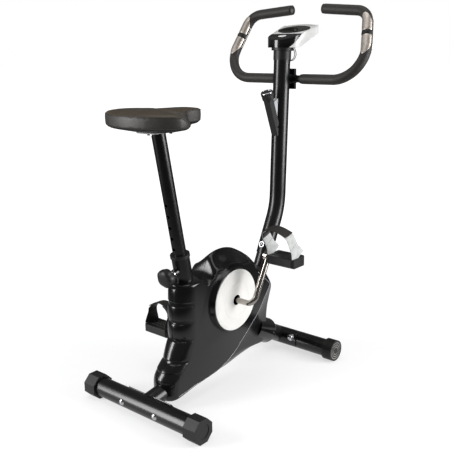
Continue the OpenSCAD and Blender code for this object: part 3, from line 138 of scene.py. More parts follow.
def moulded(name, code, rough, grain, bump=0.05, coat=0.0, vary=0.12, edge=0.6):
    """Moulded plastic, rubber or paint: a fine grain, a cloudy gloss and softly rounded edges."""
    m = Material(name)
    base = linear(code)
    at = m.add("Mapping", Vector=m.add("TexCoord").outputs["Object"])
    cloud = m.add("TexNoise", Vector=at, Scale=scale_for(45.5), Detail=4.0, Roughness=0.6)
    fine = m.add("TexNoise", Vector=at, Scale=scale_for(grain), Detail=3.0, Roughness=0.55)
    shade = m.add("ValToRGB", stops=((0.3, tint(base, 1 - vary)), (0.7, tint(base, 1 + vary))), Fac=cloud)
    gloss = m.add("MapRange", Value=cloud, To_Min=rough * 0.85, To_Max=rough * 1.15)
    m.put(m.shader, Base_Color=shade, Roughness=gloss, Coat_Weight=coat, Coat_Roughness=0.12)
    relief = m.add("Bump", Height=fine, Strength=bump, Distance=0.4 * MM)
    if edge:
        m.put(relief, Normal=m.add("Bevel", {"samples": 4}, Radius=edge * MM))
    m.put(m.shader, Normal=relief)
    return m.mat


def metal(name, code, rough, grain, stretch=(1, 1, 1), bump=0.04, vary=0.08, edge=0.4):
    """Bare, plated or brushed metal; stretch draws the grain out along an axis."""
    m = Material(name)
    base = linear(code)
    along = m.add("Mapping", Vector=m.add("TexCoord").outputs["Object"], Scale=stretch)
    fine = m.add("TexNoise", Vector=along, Scale=scale_for(grain), Detail=5.0, Roughness=0.6)
    at = m.add("Mapping", Vector=m.add("TexCoord").outputs["Object"])
    cloud = m.add("TexNoise", Vector=at, Scale=scale_for(28.5), Detail=3.0)
    shade = m.add("ValToRGB", stops=((0.35, tint(base, 1 - vary)), (0.65, tint(base, 1 + vary))), Fac=fine)
    gloss = m.add("MapRange", Value=cloud, To_Min=rough * 0.8, To_Max=rough * 1.25)
    m.put(m.shader, Base_Color=shade, Metallic=1.0, Roughness=gloss)
    relief = m.add("Bump", Height=fine, Strength=bump, Distance=0.3 * MM)
    m.put(relief, Normal=m.add("Bevel", {"samples": 4}, Radius=edge * MM))
    m.put(m.shader, Normal=relief)
    return m.mat


def foam():
    """Closed-cell foam sleeve: its pitted skin looks dull and soft; 0.3 mm cells, drawn twice as wide."""
    m = Material("closed_cell_foam")
    base = linear("#231f1c")
    at = m.add("Mapping", Vector=m.add("TexCoord").outputs["Object"])
    cells = m.add("TexVoronoi", Vector=at, Scale=scale_for(0.667))
    cloud = m.add("TexNoise", Vector=at, Scale=scale_for(16.7), Detail=5.0)
    shade = m.add("ValToRGB", stops=((0.3, tint(base, 0.82)), (0.7, tint(base, 1.2))), Fac=cloud)
    gloss = m.add("MapRange", Value=cloud, To_Min=0.5, To_Max=0.64)
    m.put(m.shader, Base_Color=shade, Roughness=gloss, Sheen_Weight=0.1, Sheen_Roughness=0.5)
    m.put(m.shader, Normal=m.add("Bump", Height=cells, Strength=0.22, Distance=0.4 * MM))
    return m.mat


def vinyl(name, code, rough):
    """Embossed upholstery vinyl: leather grain 1.6 mm wide, darker and duller in its furrows."""
    m = Material(name)
    base = linear(code)
    at = m.add("Mapping", Vector=m.add("TexCoord").outputs["Object"])
    grain = m.add("TexVoronoi", {"feature": "DISTANCE_TO_EDGE"}, Vector=at, Scale=scale_for(1.613))
    cloud = m.add("TexNoise", Vector=at, Scale=scale_for(55.5), Detail=6.0, Roughness=0.62)
    shade = m.add("ValToRGB", stops=((0.3, tint(base, 0.82)), (0.7, tint(base, 1.15))), Fac=cloud)
    furrow = m.add("MapRange", Value=grain, From_Min=0.0, From_Max=0.12)
    mix = m.add("Mix", {"data_type": "RGBA"}, Factor=furrow)
    mix.inputs[6].default_value = tint(base, 0.72)
    m.tree.links.new(shade.outputs[0], mix.inputs[7])
    gloss = m.add("MapRange", Value=cloud, To_Min=rough * 0.85, To_Max=rough * 1.2)
    m.put(m.shader, Base_Color=mix.outputs[2], Roughness=gloss)
    m.put(m.shader, Normal=m.add("Bump", Height=furrow, Strength=0.16, Distance=0.5 * MM))
    return m.mat


RIB_WAVE = math.pi / 10    # a wave texture's own spacing at scale 1, m


def strap_pvc(name, code):
    """Moulded soft PVC strap: dull, with cross ribs 0.75 mm apart that blur its highlights."""
    m = Material(name)
    base = linear(code)
    at = m.add("Mapping", Vector=m.add("TexCoord").outputs["Object"])
    ribs = m.add("TexWave", {"bands_direction": "Z"}, Vector=at, Scale=RIB_WAVE * scale_for(0.748),
                 Distortion=1.5, Detail=2.0)
    cloud = m.add("TexNoise", Vector=at, Scale=scale_for(14.3), Detail=5.0)
    shade = m.add("ValToRGB", stops=((0.3, tint(base, 0.86)), (0.7, tint(base, 1.1))), Fac=cloud)
    gloss = m.add("MapRange", Value=cloud, To_Min=0.5, To_Max=0.65)
    m.put(m.shader, Base_Color=shade, Roughness=gloss)
    m.put(m.shader, Normal=m.add("Bump", Height=ribs.outputs["Fac"], Strength=0.12, Distance=0.4 * MM))
    return m.mat


def tinted_window():
    """Polished tinted acrylic over the display: almost black, with the sharpest reflections of all."""
    m = Material("tinted_acrylic")
    at = m.add("Mapping", Vector=m.add("TexCoord").outputs["Object"])
    cloud = m.add("TexNoise", Vector=at, Scale=scale_for(25), Detail=3.0)
    shade = m.add("ValToRGB", stops=((0.3, linear("#0c0f0c")), (0.75, linear("#1c211b"))), Fac=cloud)
    gloss = m.add("MapRange", Value=cloud, To_Min=0.08, To_Max=0.14)
    m.put(m.shader, Base_Color=shade, Roughness=gloss, Coat_Weight=0.6, Coat_Roughness=0.04)
    return m.mat


# After the colour come roughness and the grain's width in mm. Real moulded grain is about 0.1 mm wide,
# too fine to show, so every grain of plastic, rubber and paint is drawn wider. Plastics, paint and rubber
# have the shader's own IOR of 1.5, which is theirs, and the metals keep it too.

# Powder coat baked on steel tube: deep black with a soft sheen
PAINT = moulded("powder_coated_steel", "#0d0d0e", 0.3, 0.455, coat=0.12, vary=0.1)
# Grained polypropylene of caps, knobs and rollers: a duller, greyer black
BLACK = moulded("grained_polypropylene", "#181818", 0.46, 0.667, bump=0.1, vary=0.14)
# Coarsely grained nylon of the pedals: breaks up the highlights
PEDAL = moulded("grained_pedal_nylon", "#1c1c1b", 0.42, 0.769, bump=0.16, vary=0.14)
# Polished ABS of the housing: long clear reflections in black
SHELL = moulded("polished_black_abs", "#0f0f10", 0.2, 0.588, bump=0.03, coat=0.2, vary=0.1, edge=0)
# The same ABS, lighter grey: a fine bright line that paints the highlight where the lower edge would catch
# the light
EDGE_HIGHLIGHT = moulded("abs_edge_painted_highlight", "#98989b", 0.22, 0.588, bump=0.03, coat=0.2, vary=0.1, edge=0)
# Polished white ABS of the crank covers: nearly white, with clear highlights
WHITE = moulded("polished_white_abs", "#f3f2ee", 0.22, 1.11, bump=0.02, coat=0.3, vary=0.03)
# Polished white ABS of the console, a shade greyer than the covers
WHITE_TOP = moulded("polished_console_white_abs", "#ededeb", 0.2, 1.11, bump=0.02, coat=0.3, vary=0.03)
# Polished black ABS of the console: the glossiest black of the bike
GLOSS = moulded("polished_console_black_abs", "#0a0a0b", 0.16, 0.833, bump=0.02, coat=0.3, vary=0.1)
# Moulded light grey ABS: plain and even
GREY = moulded("moulded_grey_abs", "#b4b8bc", 0.45, 0.714, bump=0.06, vary=0.05)
# Solder mask on a circuit board: satin green
BOARD = moulded("solder_masked_board", "#24523a", 0.4, 1.67)
# Moulded and extruded rubber: dark and dull
RUBBER = moulded("extruded_black_rubber", "#141414", 0.6, 0.625, bump=0.1)
# Pale, blotchy rings on the rollers' outer faces: a painted highlight of their ribbed faces
RING_HIGHLIGHT = moulded("rubber_painted_ring_highlight", "#96948f", 0.5, 1.11, bump=0.2, vary=0.3)
# Chrome plating on polished steel: mirrors the room
CHROME = metal("chrome_plated_steel", "#b4aea8", 0.1, 2.5, bump=0.01, vary=0.02)
# Zinc plating of screws and nuts: bright, a little milky
ZINC = metal("zinc_plated_steel", "#c9c9cd", 0.22, 2.0, bump=0.05, vary=0.06)
# Cold-drawn steel: grey, with drawn-out lines
STEEL = metal("cold_drawn_steel", "#96969a", 0.35, 2.5, (1, 1, 4), 0.08, 0.1)
# Turned cast iron: dark grey and speckled
IRON = metal("turned_cast_iron", "#5d5f62", 0.45, 2.0, bump=0.12, vary=0.15)
# Brushed stainless steel of the pulse plates: long brush lines that spread the highlight
PLATE = metal("brushed_stainless_steel", "#d6cdc4", 0.44, 1.11, (1, 1, 0.12), 0.1, 0.1, 0.3)
FOAM = foam()
# Brown-grey vinyl on the saddle's top, and the darker one round its side
VINYL = vinyl("embossed_saddle_vinyl", "#4a4034", 0.42)
VINYL_SIDE = vinyl("embossed_side_vinyl", "#393734", 0.46)
# Soft PVC of the straps: the dark straps, the light one, and a darker grey that paints shade in its creases
STRAP_DARK = strap_pvc("moulded_dark_pvc", "#272522")
STRAP_LIGHT = strap_pvc("moulded_light_pvc", "#c4c6c4")
FOLD_SHADE = strap_pvc("light_pvc_painted_crease_shade", "#7d7f7d")
LENS = tinted_window()

by_slot = {
    "frame_paint": PAINT, "black_plastic": BLACK, "housing_plastic": SHELL, "white_plastic": WHITE,
    "gloss_white": WHITE_TOP, "gloss_black": GLOSS, "grey_plastic": GREY, "lens": LENS,
    "circuit_board": BOARD, "cable_rubber": RUBBER, "steel": STEEL, "zinc": ZINC, "chrome": CHROME,
    "cast_iron": IRON, "pedal_plastic": PEDAL, "strap_rubber": STRAP_DARK, "saddle_vinyl": VINYL,
    "foam": FOAM, "brushed_plate": PLATE,
}
for part in frame["record"]["subparts"]:
    mesh = nodes[part["node"]].data
    mesh.materials.clear()
    mesh.materials.append(by_slot[part["material_slot"]])


# ---------------------------------------------------------------- mesh helpers

def piece(name, verts, faces, mats, body, stands_for=()):
    """A new piece of the visual model."""
    me = bpy.data.meshes.new(name)
    me.from_pydata([tuple(v) for v in verts], [], faces)
    for m in mats if isinstance(mats, (list, tuple)) else [mats]:
        me.materials.append(m)
    bm = bmesh.new()
    bm.from_mesh(me)
    bmesh.ops.recalc_face_normals(bm, faces=bm.faces)
    bm.to_mesh(me)
    bm.free()
    for f in me.polygons:
        f.use_smooth = True
    ob = bpy.data.objects.new(name, me)
    bpy.context.scene.collection.objects.link(ob)
    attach(ob, body)
    if stands_for:
        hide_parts(*stands_for)
    return ob


def apply_mods(ob):
    """Bakes the modifiers into the mesh."""
    dg = bpy.context.evaluated_depsgraph_get()
    me = bpy.data.meshes.new_from_object(ob.evaluated_get(dg))
    old = ob.data
    ob.modifiers.clear()
    ob.data = me
    bpy.data.meshes.remove(old)


def subdivided(ob):
    """One level of subdivision, baked into the mesh."""
    sub = ob.modifiers.new("finer", "SUBSURF")
    sub.levels = sub.render_levels = 1
    apply_mods(ob)


def sharp_smooth(ob, degrees):
    """Smooth shading that keeps edges sharper than the angle."""
    bm = bmesh.new()
    bm.from_mesh(ob.data)
    limit = math.radians(degrees)
    for e in bm.edges:
        e.smooth = not (e.is_boundary or len(e.link_faces) != 2 or e.calc_face_angle(3.2) > limit)
    bm.to_mesh(ob.data)
    bm.free()


def bevelled(ob, width, segments, degrees):
    """Rounds the edges sharper than the angle."""
    m = ob.modifiers.new("round edges", "BEVEL")
    m.width = width
    m.segments = segments
    m.limit_method = "ANGLE"
    m.angle_limit = math.radians(degrees)
    m.harden_normals = False
    apply_mods(ob)
    for f in ob.data.polygons:
        f.use_smooth = True
    sharp_smooth(ob, 50)
    return ob


def ring_faces(rings, count):
    """Quads between closed rings that have count points each."""
    out = []
    for r in range(rings - 1):
        for i in range(count):
            a, b = r * count + i, r * count + (i + 1) % count
            out.append((a, b, b + count, a + count))
    return out


def cap_faces(rings, count):
    """The two end faces of a stack of rings."""
    return [tuple(range(count - 1, -1, -1)), tuple((rings - 1) * count + k for k in range(count))]


def catmull(a, b, c, d, t):
    """Point at share t between b and c on a smooth curve through a, b, c and d."""
    return tuple(0.5 * (2 * q + (r - p) * t + (2 * p - 5 * q + 4 * r - s) * t * t
                        + (3 * q - p - 3 * r + s) * t ** 3)
                 for p, q, r, s in zip(a, b, c, d))


def closed_curve(points, steps):
    """Smooth loop through the points; steps(i) is the number of steps after point i."""
    n = len(points)
    out = []
    for i in range(n):
        a, b, c, d = points[i - 1], points[i], points[(i + 1) % n], points[(i + 2) % n]
        out += [catmull(a, b, c, d, k / steps(i)) for k in range(steps(i))]
    return out


def open_curve(points, steps):
    """Smooth line through the points, with steps between each two."""
    out = []
    for i in range(len(points) - 1):
        a, d = points[max(i - 1, 0)], points[min(i + 2, len(points) - 1)]
        out += [catmull(a, points[i], points[i + 1], d, k / steps) for k in range(steps)]
    out.append(tuple(points[-1]))
    return out


def smooth_step(t):
    """Eases from 0 to 1 while t goes from 0 to 1."""
    t = max(0.0, min(1.0, t))
    return t * t * (3 - 2 * t)


def axes_of(z_axis):
    """Three unit axes at right angles, the last along the one given."""
    z = Vector(z_axis).normalized()
    x_hint = Vector((0, 1, 0)) if abs(z.y) < 0.7 else Vector((1, 0, 0))
    x = (x_hint - z * x_hint.dot(z)).normalized()
    return x, z.cross(x), z


def turned(name, origin, axis, profile, mat, body, stands_for=(), count=96, wave=None):
    """Surface of revolution; profile is [radius, height] in mm, wave may change the radius by angle."""
    x, y, z = axes_of(axis)
    verts = []
    for r, h in profile:
        for i in range(count):
            a = 2 * math.pi * i / count
            rr = r + (wave(a, r) if wave else 0)
            verts.append(origin + (x * math.cos(a) + y * math.sin(a)) * rr * MM + z * h * MM)
    ob = piece(name, verts, ring_faces(len(profile), count), mat, body, stands_for)
    sharp_smooth(ob, 40)
    return ob


def swept(name, path, radius, mat, body, stands_for=(), sides=24, wave=None):
    """Tube along points in metres; radius(i) at each point, wave may change it by angle."""
    path = [Vector(p) for p in path]
    verts = []
    up = None
    for i, p in enumerate(path):
        t = (path[min(i + 1, len(path) - 1)] - path[max(i - 1, 0)]).normalized()
        if up is None:
            up = t.orthogonal().normalized()
        up = (up - t * up.dot(t)).normalized()
        side = t.cross(up)
        for k in range(sides):
            a = 2 * math.pi * k / sides
            rr = radius(i) + (wave(i, a) if wave else 0)
            verts.append(p + (up * math.cos(a) + side * math.sin(a)) * rr)
    faces = ring_faces(len(path), sides) + cap_faces(len(path), sides)
    return piece(name, verts, faces, mat, body, stands_for)


# ---------------------------------------------------------------- housing

FLANK = 45.0                    # half width of the housing at its flank
CHAMFER = 15                    # depth of the straight chamfer beside the flank
DOME, LOBE = 147.0, 107.0       # radii round the crank: the dome's middle ridge, the lobe on its flank
LOBE_TURN = 2                   # the lobe's points lie this many degrees behind the ridge's
FALL = math.radians(26.3)       # slope of the front frame tube, down to the front


def dome_at(a):
    """Point of the outline on the dome, at an angle round the crank."""
    b, a = math.radians(a - LOBE_TURN), math.radians(a)
    return (CRANK[0] + LOBE * math.cos(b), CRANK[1] + LOBE * math.sin(b),
            CRANK[0] + DOME * math.cos(a), CRANK[1] + DOME * math.sin(a), 0.2, 1)


# Each point is [x, z] on the flank, [x, z] on the middle ridge, then the share of straight chamfer
outline = [
    (88, 38, 66, 22, 0), (90, 62, 57, 52, 0), (98, 84, 57, 84, 0), (118, 106, 70, 106, 0),
    (140, 130, 91, 130, 0), (155, 158, 106, 158, 0), (163, 196, 116, 190, 0), (165, 246, 118, 246, 0),
    (166, 296, 120, 296, 0), (168, 330, 123, 334, 0), (174, 343, 132, 350, 0), (192, 343, 206, 352, 0),
    (214, 328, 226, 339, 0), (236, 338, 246, 352, 0.1), (262, 364, 266, 388, 0.2),
    dome_at(105), dome_at(90), dome_at(75), dome_at(60),
    (418, 343, 443, 358, 0.4), (448, 310, 473, 327, 0.6), (478, 284, 500, 297, 0.8),
    (503, 262, 526, 261, 1), (506, 250, 535, 238, 1), (478, 214, 526, 210, 1), (446, 176, 516, 182, 1),
    (415, 150, 511, 156, 1), (389, 129, 509, 132, 1), (366, 112, 506, 106, 1), (348, 98, 502, 82, 1),
    (332, 86.5, 488, 63, 1), (308, 74, 436, 65, 1), (284, 63.5, 376, 59, 1), (256, 56, 312, 48, 0.9),
    (226, 51.5, 258, 42, 0.7), (190, 48, 206, 36, 0.5), (156, 47, 158, 29, 0.3), (118, 41, 108, 21.5, 0),
]
# Share of hollow valley beside the dome's ridge, at these flank points and all along the dome
VALLEY = {(236, 338): 0.25, (262, 364): 0.7, (418, 343): 0.75, (448, 310): 0.25}
# Distances of the rings from the middle plane, as shares of the flank's; the last one closes the shell
LEVELS = (1.0, 0.9995, 0.997, 0.99, 0.98, 0.965, 0.945, 0.92, 0.89, 0.85, 0.81, 0.77, 0.73, 0.695, 0.667,
          0.63, 0.56, 0.47, 0.37, 0.26, 0.15, 0.05, 0.012, 0.006)
CLOSING = (300, 200)            # the last ring draws in towards this point, x and z
GROOVES = ((290, 11, 2.2), (239, 9, 2.6), (187, 8, 3.0), (128, 7, 2.6))                # height, width, depth
SWELLINGS = ((245, 284, 1.4), (193, 233, 2.6), (133, 182, 4.2), (84, 123, 2.6))        # from, to, rise
RIDGE_X, RIDGE_LOW, RIDGE_HIGH = 175, 104, 336    # the ridge with this relief: up to x, from z to z


def rear_relief(z):
    """Height of the ridge's relief, mm: grooves are negative, swellings positive."""
    d = 0.0
    for mid, width, depth in GROOVES:
        d -= depth * smooth_step((width / 2 + 1.4 - abs(z - mid)) / 2.2)
    for low, high, rise in SWELLINGS:
        if low < z < high:
            d += rise * math.sin(math.pi * (z - low) / (high - low)) ** 0.7
    return d


def housing_point(p, s):
    """Point [x, z] of the shell at s of the flank's distance; 0 is the middle plane."""
    round_share = math.sqrt(max(0, 1 - s * s))
    b = p[4] * min(1, (1 - s) * FLANK / CHAMFER) + (1 - p[4]) * round_share
    b += p[5] * (0.5 + 0.5 * math.cos(math.pi * min(1, s / 0.95)) - b)
    x, z = p[0] + (p[2] - p[0]) * b, p[1] + (p[3] - p[1]) * b
    if p[0] < RIDGE_X and RIDGE_LOW < z < RIDGE_HIGH:
        x -= rear_relief(z) * smooth_step(b / 0.35)
    if s == LEVELS[-1]:
        cx, cz = CLOSING
        d = math.hypot(x - cx, z - cz)
        x, z = x + (cx - x) / d, z + (cz - z) / d
    return x, z


def housing_half(sign, name, node):
    """One of the two glossy housing shells."""
    full = [q if len(q) == 6 else (*q, VALLEY.get(q[:2], 0)) for q in outline]
    curve = closed_curve(full, lambda i: 34 if 3 <= i <= 8 else 8)    # finer along the grooves
    verts = []
    for s in LEVELS:
        for p in curve:
            x, z = housing_point(p, s)
            verts.append(world(x, sign * (FLANK * s), z))
    faces = ring_faces(len(LEVELS), len(curve))
    faces.append(tuple(range(len(curve))))
    ob = piece(name, verts, faces, SHELL, "frame", [node])
    sharp_smooth(ob, 22)
    return ob


LOWER_EDGE = [q[:2] for q in (outline[0], *outline[:19:-1])]    # flank points from the rear foot to the front
DRUM = [(99.5, 43.5), (99.0, 45.0), (98.2, 46.2), (96.0, 55.5), (95.2, 57.2), (94.2, 57.95), (93.0, 58.0),
        (92.5, 57.7), (92.4, 56.5), (90.5, 56.5), (90.5, 50)]
for sign, side in SIDES:
    housing_half(sign, f"shell_{side}", f"housing_{side}")
    # A thin bead along the lower flank edge, whose light grey paints that edge's highlight
    highlight_bead = [world(x, sign * (FLANK - 0.25), z) for x, z in open_curve(LOWER_EDGE, 8)]
    swept(f"housing_edge_highlight_{side}", highlight_bead, lambda i: 1.0 * MM, EDGE_HIGHLIGHT, "frame", sides=10)
    turned(f"drum_{side}", world(CRANK[0], 0, CRANK[1]), (0, sign, 0), DRUM, SHELL, "frame",
           count=160)

SLEEVE = [(41, 0), (41, 82), (40.6, 84.5), (39.4, 86.2), (37.6, 87), (31, 87), (29.4, 86.4), (28.4, 85),
          (28.2, 80)]
SLEEVE_FOOT = world(470.634, 0, 111.869)    # on the middle line of the front frame tube
turned("front_sleeve", SLEEVE_FOOT, (math.cos(FALL), 0, -math.sin(FALL)), SLEEVE, SHELL, "frame",
       count=96)

WELL_X, WELL_Z, WELL_Y = 104, 56, 41.6    # well of the lowest housing screw, and where its collar sits
for sign, side in SIDES:
    turned(f"screw_well_{side}", world(WELL_X, 0, WELL_Z), (0, sign, 0),
           [(5.6, WELL_Y - 1.5), (5.6, WELL_Y + 0.6), (5.2, WELL_Y + 0.9), (4.6, WELL_Y + 0.6),
            (4.5, WELL_Y - 7), (0.2, WELL_Y - 7)], BLACK, "frame", count=40)


# ---------------------------------------------------------------- handlebar grips

BAR = joint_at("handlebar")                # middle line of the handlebar's lower run, x and z
TILT = math.radians(25.6)                  # lean of the loops' plane
BAR_START = 46                             # where a grip begins beside the clamp
LOW_C, LOW_R = (158.0, 88.0), 88           # lower bend of a loop
TOP_C, TOP_R = (177.922, 172.446), 50      # upper bend
SIDE_A, SIDE_B, SIDE_LEAN = (243.847, 107.346), (226.699, 183.438), 12.7    # straight side and its lean
END_A, END_B, END_TURN = (182.28, 222.256), (58.752, 233.063), 72.3         # upper run and the bend to it
GRIP_R = 15.5


def loop_point(y, w, sign, up=0.0):
    """Point of the handlebar's loop: y across, w along the tilted plane, up out of that plane."""
    s, c = math.sin(TILT), math.cos(TILT)
    return world(BAR[0] + w * s + up * c, sign * y, BAR[1] + w * c - up * s)


def straight(a, b, steps, count):
    """The first points of a straight run from a to b that is cut into steps."""
    return [(a[0] + (b[0] - a[0]) * k / steps, a[1] + (b[1] - a[1]) * k / steps) for k in range(count)]


def bend(centre, radius, start, turn, steps, first=0):
    """Points [y, w, outward angle] on a bend from the start angle on, in degrees."""
    out = []
    for k in range(first, first + steps):
        angle = start + turn * k / steps
        a = math.radians(angle)
        out.append((centre[0] + radius * math.cos(a), centre[1] + radius * math.sin(a), angle))
    return out


def loop_path():
    """The grip's middle line as [y, w], from the clamp round to the upper end."""
    pts = straight((BAR_START, 0.0), (LOW_C[0], 0.0), 20, 20)
    pts += [q[:2] for q in bend(LOW_C, LOW_R, -90, 90 + SIDE_LEAN, 36)]
    pts += straight(SIDE_A, SIDE_B, 12, 12)
    pts += [q[:2] for q in bend(TOP_C, TOP_R, SIDE_LEAN, END_TURN, 24)]
    return pts + straight(END_A, END_B, 24, 25)


grip_path = loop_path()


def sleeve_radius(i):
    """Radius of the foam at a point of its path; its two ends are rounded."""
    end = min(i, len(grip_path) - 1 - i)
    return (GRIP_R - (1.6 if end == 0 else 0.35 if end == 1 else 0)) * MM


for sign, side in SIDES:
    def uneven(i, a, seed=sign):
        """Slight waviness of the foam."""
        p = Vector((i * 0.35, math.cos(a) * 0.8, math.sin(a) * 0.8 + seed * 7))
        return noise.noise(p) * 0.18 * MM

    swept(f"foam_grip_{side}", [loop_point(y, w, sign) for y, w in grip_path], sleeve_radius, FOAM,
          "handlebar", [f"grip_{side}"], 36, uneven)


PLATE_OUT, PLATE_IN, PLATE_HALF = 16.7, 15.65, 80.0    # radii in mm, half width in degrees
BAND_OUT, BAND_IN, BAND_HALF = 17.3, 15.6, 84          # the dark band between the two rear plates
REAR, FRONT_SIDE = -90, 90                             # rider's side and front side of the grip, degrees
ACROSS = [-1, -0.985, -0.95] + [k / 10 for k in range(-9, 10)] + [0.95, 0.985, 1]


def grip_stations():
    """Stations [y, w, outward angle, length so far] along the plates, lower to upper tip."""
    out = bend(LOW_C, LOW_R, SIDE_LEAN - 20, 20, 14)
    out += [(y, w, SIDE_LEAN) for y, w in straight(SIDE_A, SIDE_B, 32, 33)]
    out += bend(TOP_C, TOP_R, SIDE_LEAN, 30, 14, 1)
    run, last, res = 0.0, out[0], []
    for q in out:
        run += math.hypot(q[0] - last[0], q[1] - last[1])
        res.append((*q, run))
        last = q
    return res


def grip_shell(name, along, facing, sign, mat, share, r_out=PLATE_OUT, r_in=PLATE_IN,
               half=PLATE_HALF, stands_for=()):
    """Curved plate round the grip along some stations; share(run) is its share of the full width."""
    verts = []
    for j, (y, w, a, run) in enumerate(along):
        end = min(j, len(along) - 1 - j)
        thin = (0.55 if end == 0 else 0.12 if end == 1 else 0)
        h = half * share(run)
        na, nb = math.cos(math.radians(a)), math.sin(math.radians(a))
        for layer in (0, 1):
            for t in (ACROSS if layer == 0 else reversed(ACROSS)):
                rim = 0.6 if abs(t) == 1 else 0.15 if abs(t) > 0.98 else 0
                r = r_in if layer else r_out - thin * (r_out - r_in) - rim
                g = math.radians(facing + h * t)
                c = math.cos(g)
                verts.append(loop_point(y + na * r * c, w + nb * r * c, sign, r * math.sin(g)))
    n = 2 * len(ACROSS)
    faces = ring_faces(len(along), n)
    last = (len(along) - 1) * n
    for i in range(len(ACROSS) - 1):
        faces += [(n - 1 - i, n - 2 - i, i + 1, i),
                  (last + i, last + i + 1, last + n - 2 - i, last + n - 1 - i)]
    ob = piece(name, verts, faces, mat, "handlebar", stands_for)
    sharp_smooth(ob, 50)
    return ob


stations = grip_stations()
total = stations[-1][3]
middle = [q[3] for q in stations if q[2] == SIDE_LEAN][16]    # half way up the straight side
PLATE_GAP, BAND_REACH = 6.2, 7    # from the middle to the rear plates' ends, and to the band's ends
low_half = [q for q in stations if q[3] < middle - PLATE_GAP]
high_half = [q for q in stations if q[3] > middle + PLATE_GAP]
band = [q for q in stations if abs(q[3] - middle) < BAND_REACH]


def from_low(run):
    """Share of a plate's width that widens from its lower tip."""
    return min(1, 0.1 + 0.92 * (max(0, run) / 34) ** 0.72)


def from_high(run):
    """The same from the upper tip."""
    return from_low(total - run)


def from_both(run):
    """Share of a plate's width that widens from both of its tips."""
    return min(from_low(run), from_high(run))


for sign, side in SIDES:
    for name, along, facing, mat, slot, share in (
            ("pulse_low", low_half, REAR, PLATE, "brushed_plate", from_low),
            ("pulse_high", high_half, REAR, PLATE, "brushed_plate", from_high),
            ("pulse_front", stations, FRONT_SIDE, CHROME, "chrome", from_both)):
        grip_shell(f"{name}_{side}", along, facing, sign, mat, share, stands_for=["pulse_plates"])
    grip_shell(f"grip_band_{side}", band, REAR, sign, RUBBER, lambda run: 1,
               BAND_OUT, BAND_IN, BAND_HALF)


# ---------------------------------------------------------------- console

FACE_SLOPE = math.radians(18)
REAR_X, FRONT_X, FLOOR_Z, REAR_Z = 592.042, 739.042, 975.0, 997.0
RISE_X = REAR_X + 46                  # where the underside starts to rise
NOSE, HALF = 56.0, 66.0               # radius of the round rear, half width at the front
CORNER_RUN, FRONT_BOW = 24, 150.0     # length of a front corner, radius of the bowed front
JOINT_X, JOINT_LEAN = REAR_X + 58, 32     # joint of the two shells on the face, and how far it slants back


def face_z(x):
    """Height of the console's sloping face."""
    return REAR_Z + (x - REAR_X) * math.tan(FACE_SLOPE)


def under_z(x):
    """Height of its underside, flat at the post and rising to the front."""
    return FLOOR_Z + max(0, x - RISE_X) * (face_z(FRONT_X) - 22 - FLOOR_Z) / (FRONT_X - RISE_X)


def plan_outline():
    """Round nose that widens to a bowed front with rounded corners."""
    mid = REAR_X + NOSE
    flare = math.asin((HALF - NOSE) / (FRONT_X - REAR_X - CORNER_RUN - NOSE))
    pts = [(mid + NOSE * math.cos(a), NOSE * math.sin(a))
           for a in [math.pi / 2 + flare + (math.pi - 2 * flare) * i / 72 for i in range(73)]]
    corner, last = FRONT_X - CORNER_RUN, math.asin((HALF - 7) / FRONT_BOW)
    front = [(FRONT_X - FRONT_BOW + FRONT_BOW * math.cos(last * i / 24), FRONT_BOW * math.sin(last * i / 24))
             for i in range(-24, 25)]
    turn = [(corner + dx, -HALF + dy) for dx, dy in ((0, 0), (6, 0.3), (11.5, 1.3), (15.5, 3.6))]
    return pts + turn + front[1:-1] + [(x, -y) for x, y in reversed(turn)]


def console_solid():
    """Upright block on the console's plan, taller than the console."""
    bm = bmesh.new()
    low = [bm.verts.new((x, y, 900)) for x, y in plan_outline()]
    high = [bm.verts.new((x, y, 1100)) for x, y in plan_outline()]
    n = len(low)
    bm.faces.new(low[::-1])
    bm.faces.new(high)
    for i in range(n):
        bm.faces.new((low[i], low[(i + 1) % n], high[(i + 1) % n], high[i]))
    return bm


def cut(bm, point, normal):
    """Cuts away what lies on the normal's side and closes the cut."""
    geom = bm.verts[:] + bm.edges[:] + bm.faces[:]
    r = bmesh.ops.bisect_plane(bm, geom=geom, plane_co=point, plane_no=normal, clear_outer=True)
    edges = [e for e in r["geom_cut"] if isinstance(e, bmesh.types.BMEdge)]
    bmesh.ops.contextual_create(bm, geom=edges)


def console_part(name, mat, stands_for, rear):
    """The black rear shell or the white front shell; their joint slants down to the rear."""
    bm = console_solid()
    cut(bm, (REAR_X, 0, REAR_Z), (-math.sin(FACE_SLOPE), 0, math.cos(FACE_SLOPE)))
    cut(bm, (0, 0, FLOOR_Z), (0, 0, -1))
    d = Vector((FRONT_X - RISE_X, under_z(FRONT_X) - FLOOR_Z)).normalized()
    cut(bm, (RISE_X, 0, FLOOR_Z), (d.y, 0, -d.x))
    high, low = Vector((JOINT_X, face_z(JOINT_X))), Vector((JOINT_X - JOINT_LEAN, FLOOR_Z + 10))
    d = (high - low).normalized()
    off = -0.2 if rear else 0.2
    cut(bm, (high.x + off, 0, high.y), (d.y, 0, -d.x) if rear else (-d.y, 0, d.x))
    bmesh.ops.remove_doubles(bm, verts=bm.verts[:], dist=0.01)
    bmesh.ops.recalc_face_normals(bm, faces=bm.faces[:])
    me = bpy.data.meshes.new(name)
    bm.to_mesh(me)
    bm.free()
    verts = [world(*v.co) for v in me.vertices]
    faces = [tuple(f.vertices) for f in me.polygons]
    bpy.data.meshes.remove(me)
    ob = piece(name, verts, faces, mat, "frame", stands_for)
    return bevelled(ob, 2.4 * MM, 4, 25)


console_part("console_rear", GLOSS, ["console_base"], True)
console_part("console_front", WHITE_TOP, ["console_top"], False)


def on_face(x, y, depth, ahead=0.0):
    """Point on the console's face, moved ahead along the slope and sunk by depth, mm."""
    s, c = math.sin(FACE_SLOPE), math.cos(FACE_SLOPE)
    return world(x + ahead * c + depth * s, y, face_z(x) + ahead * s - depth * c)


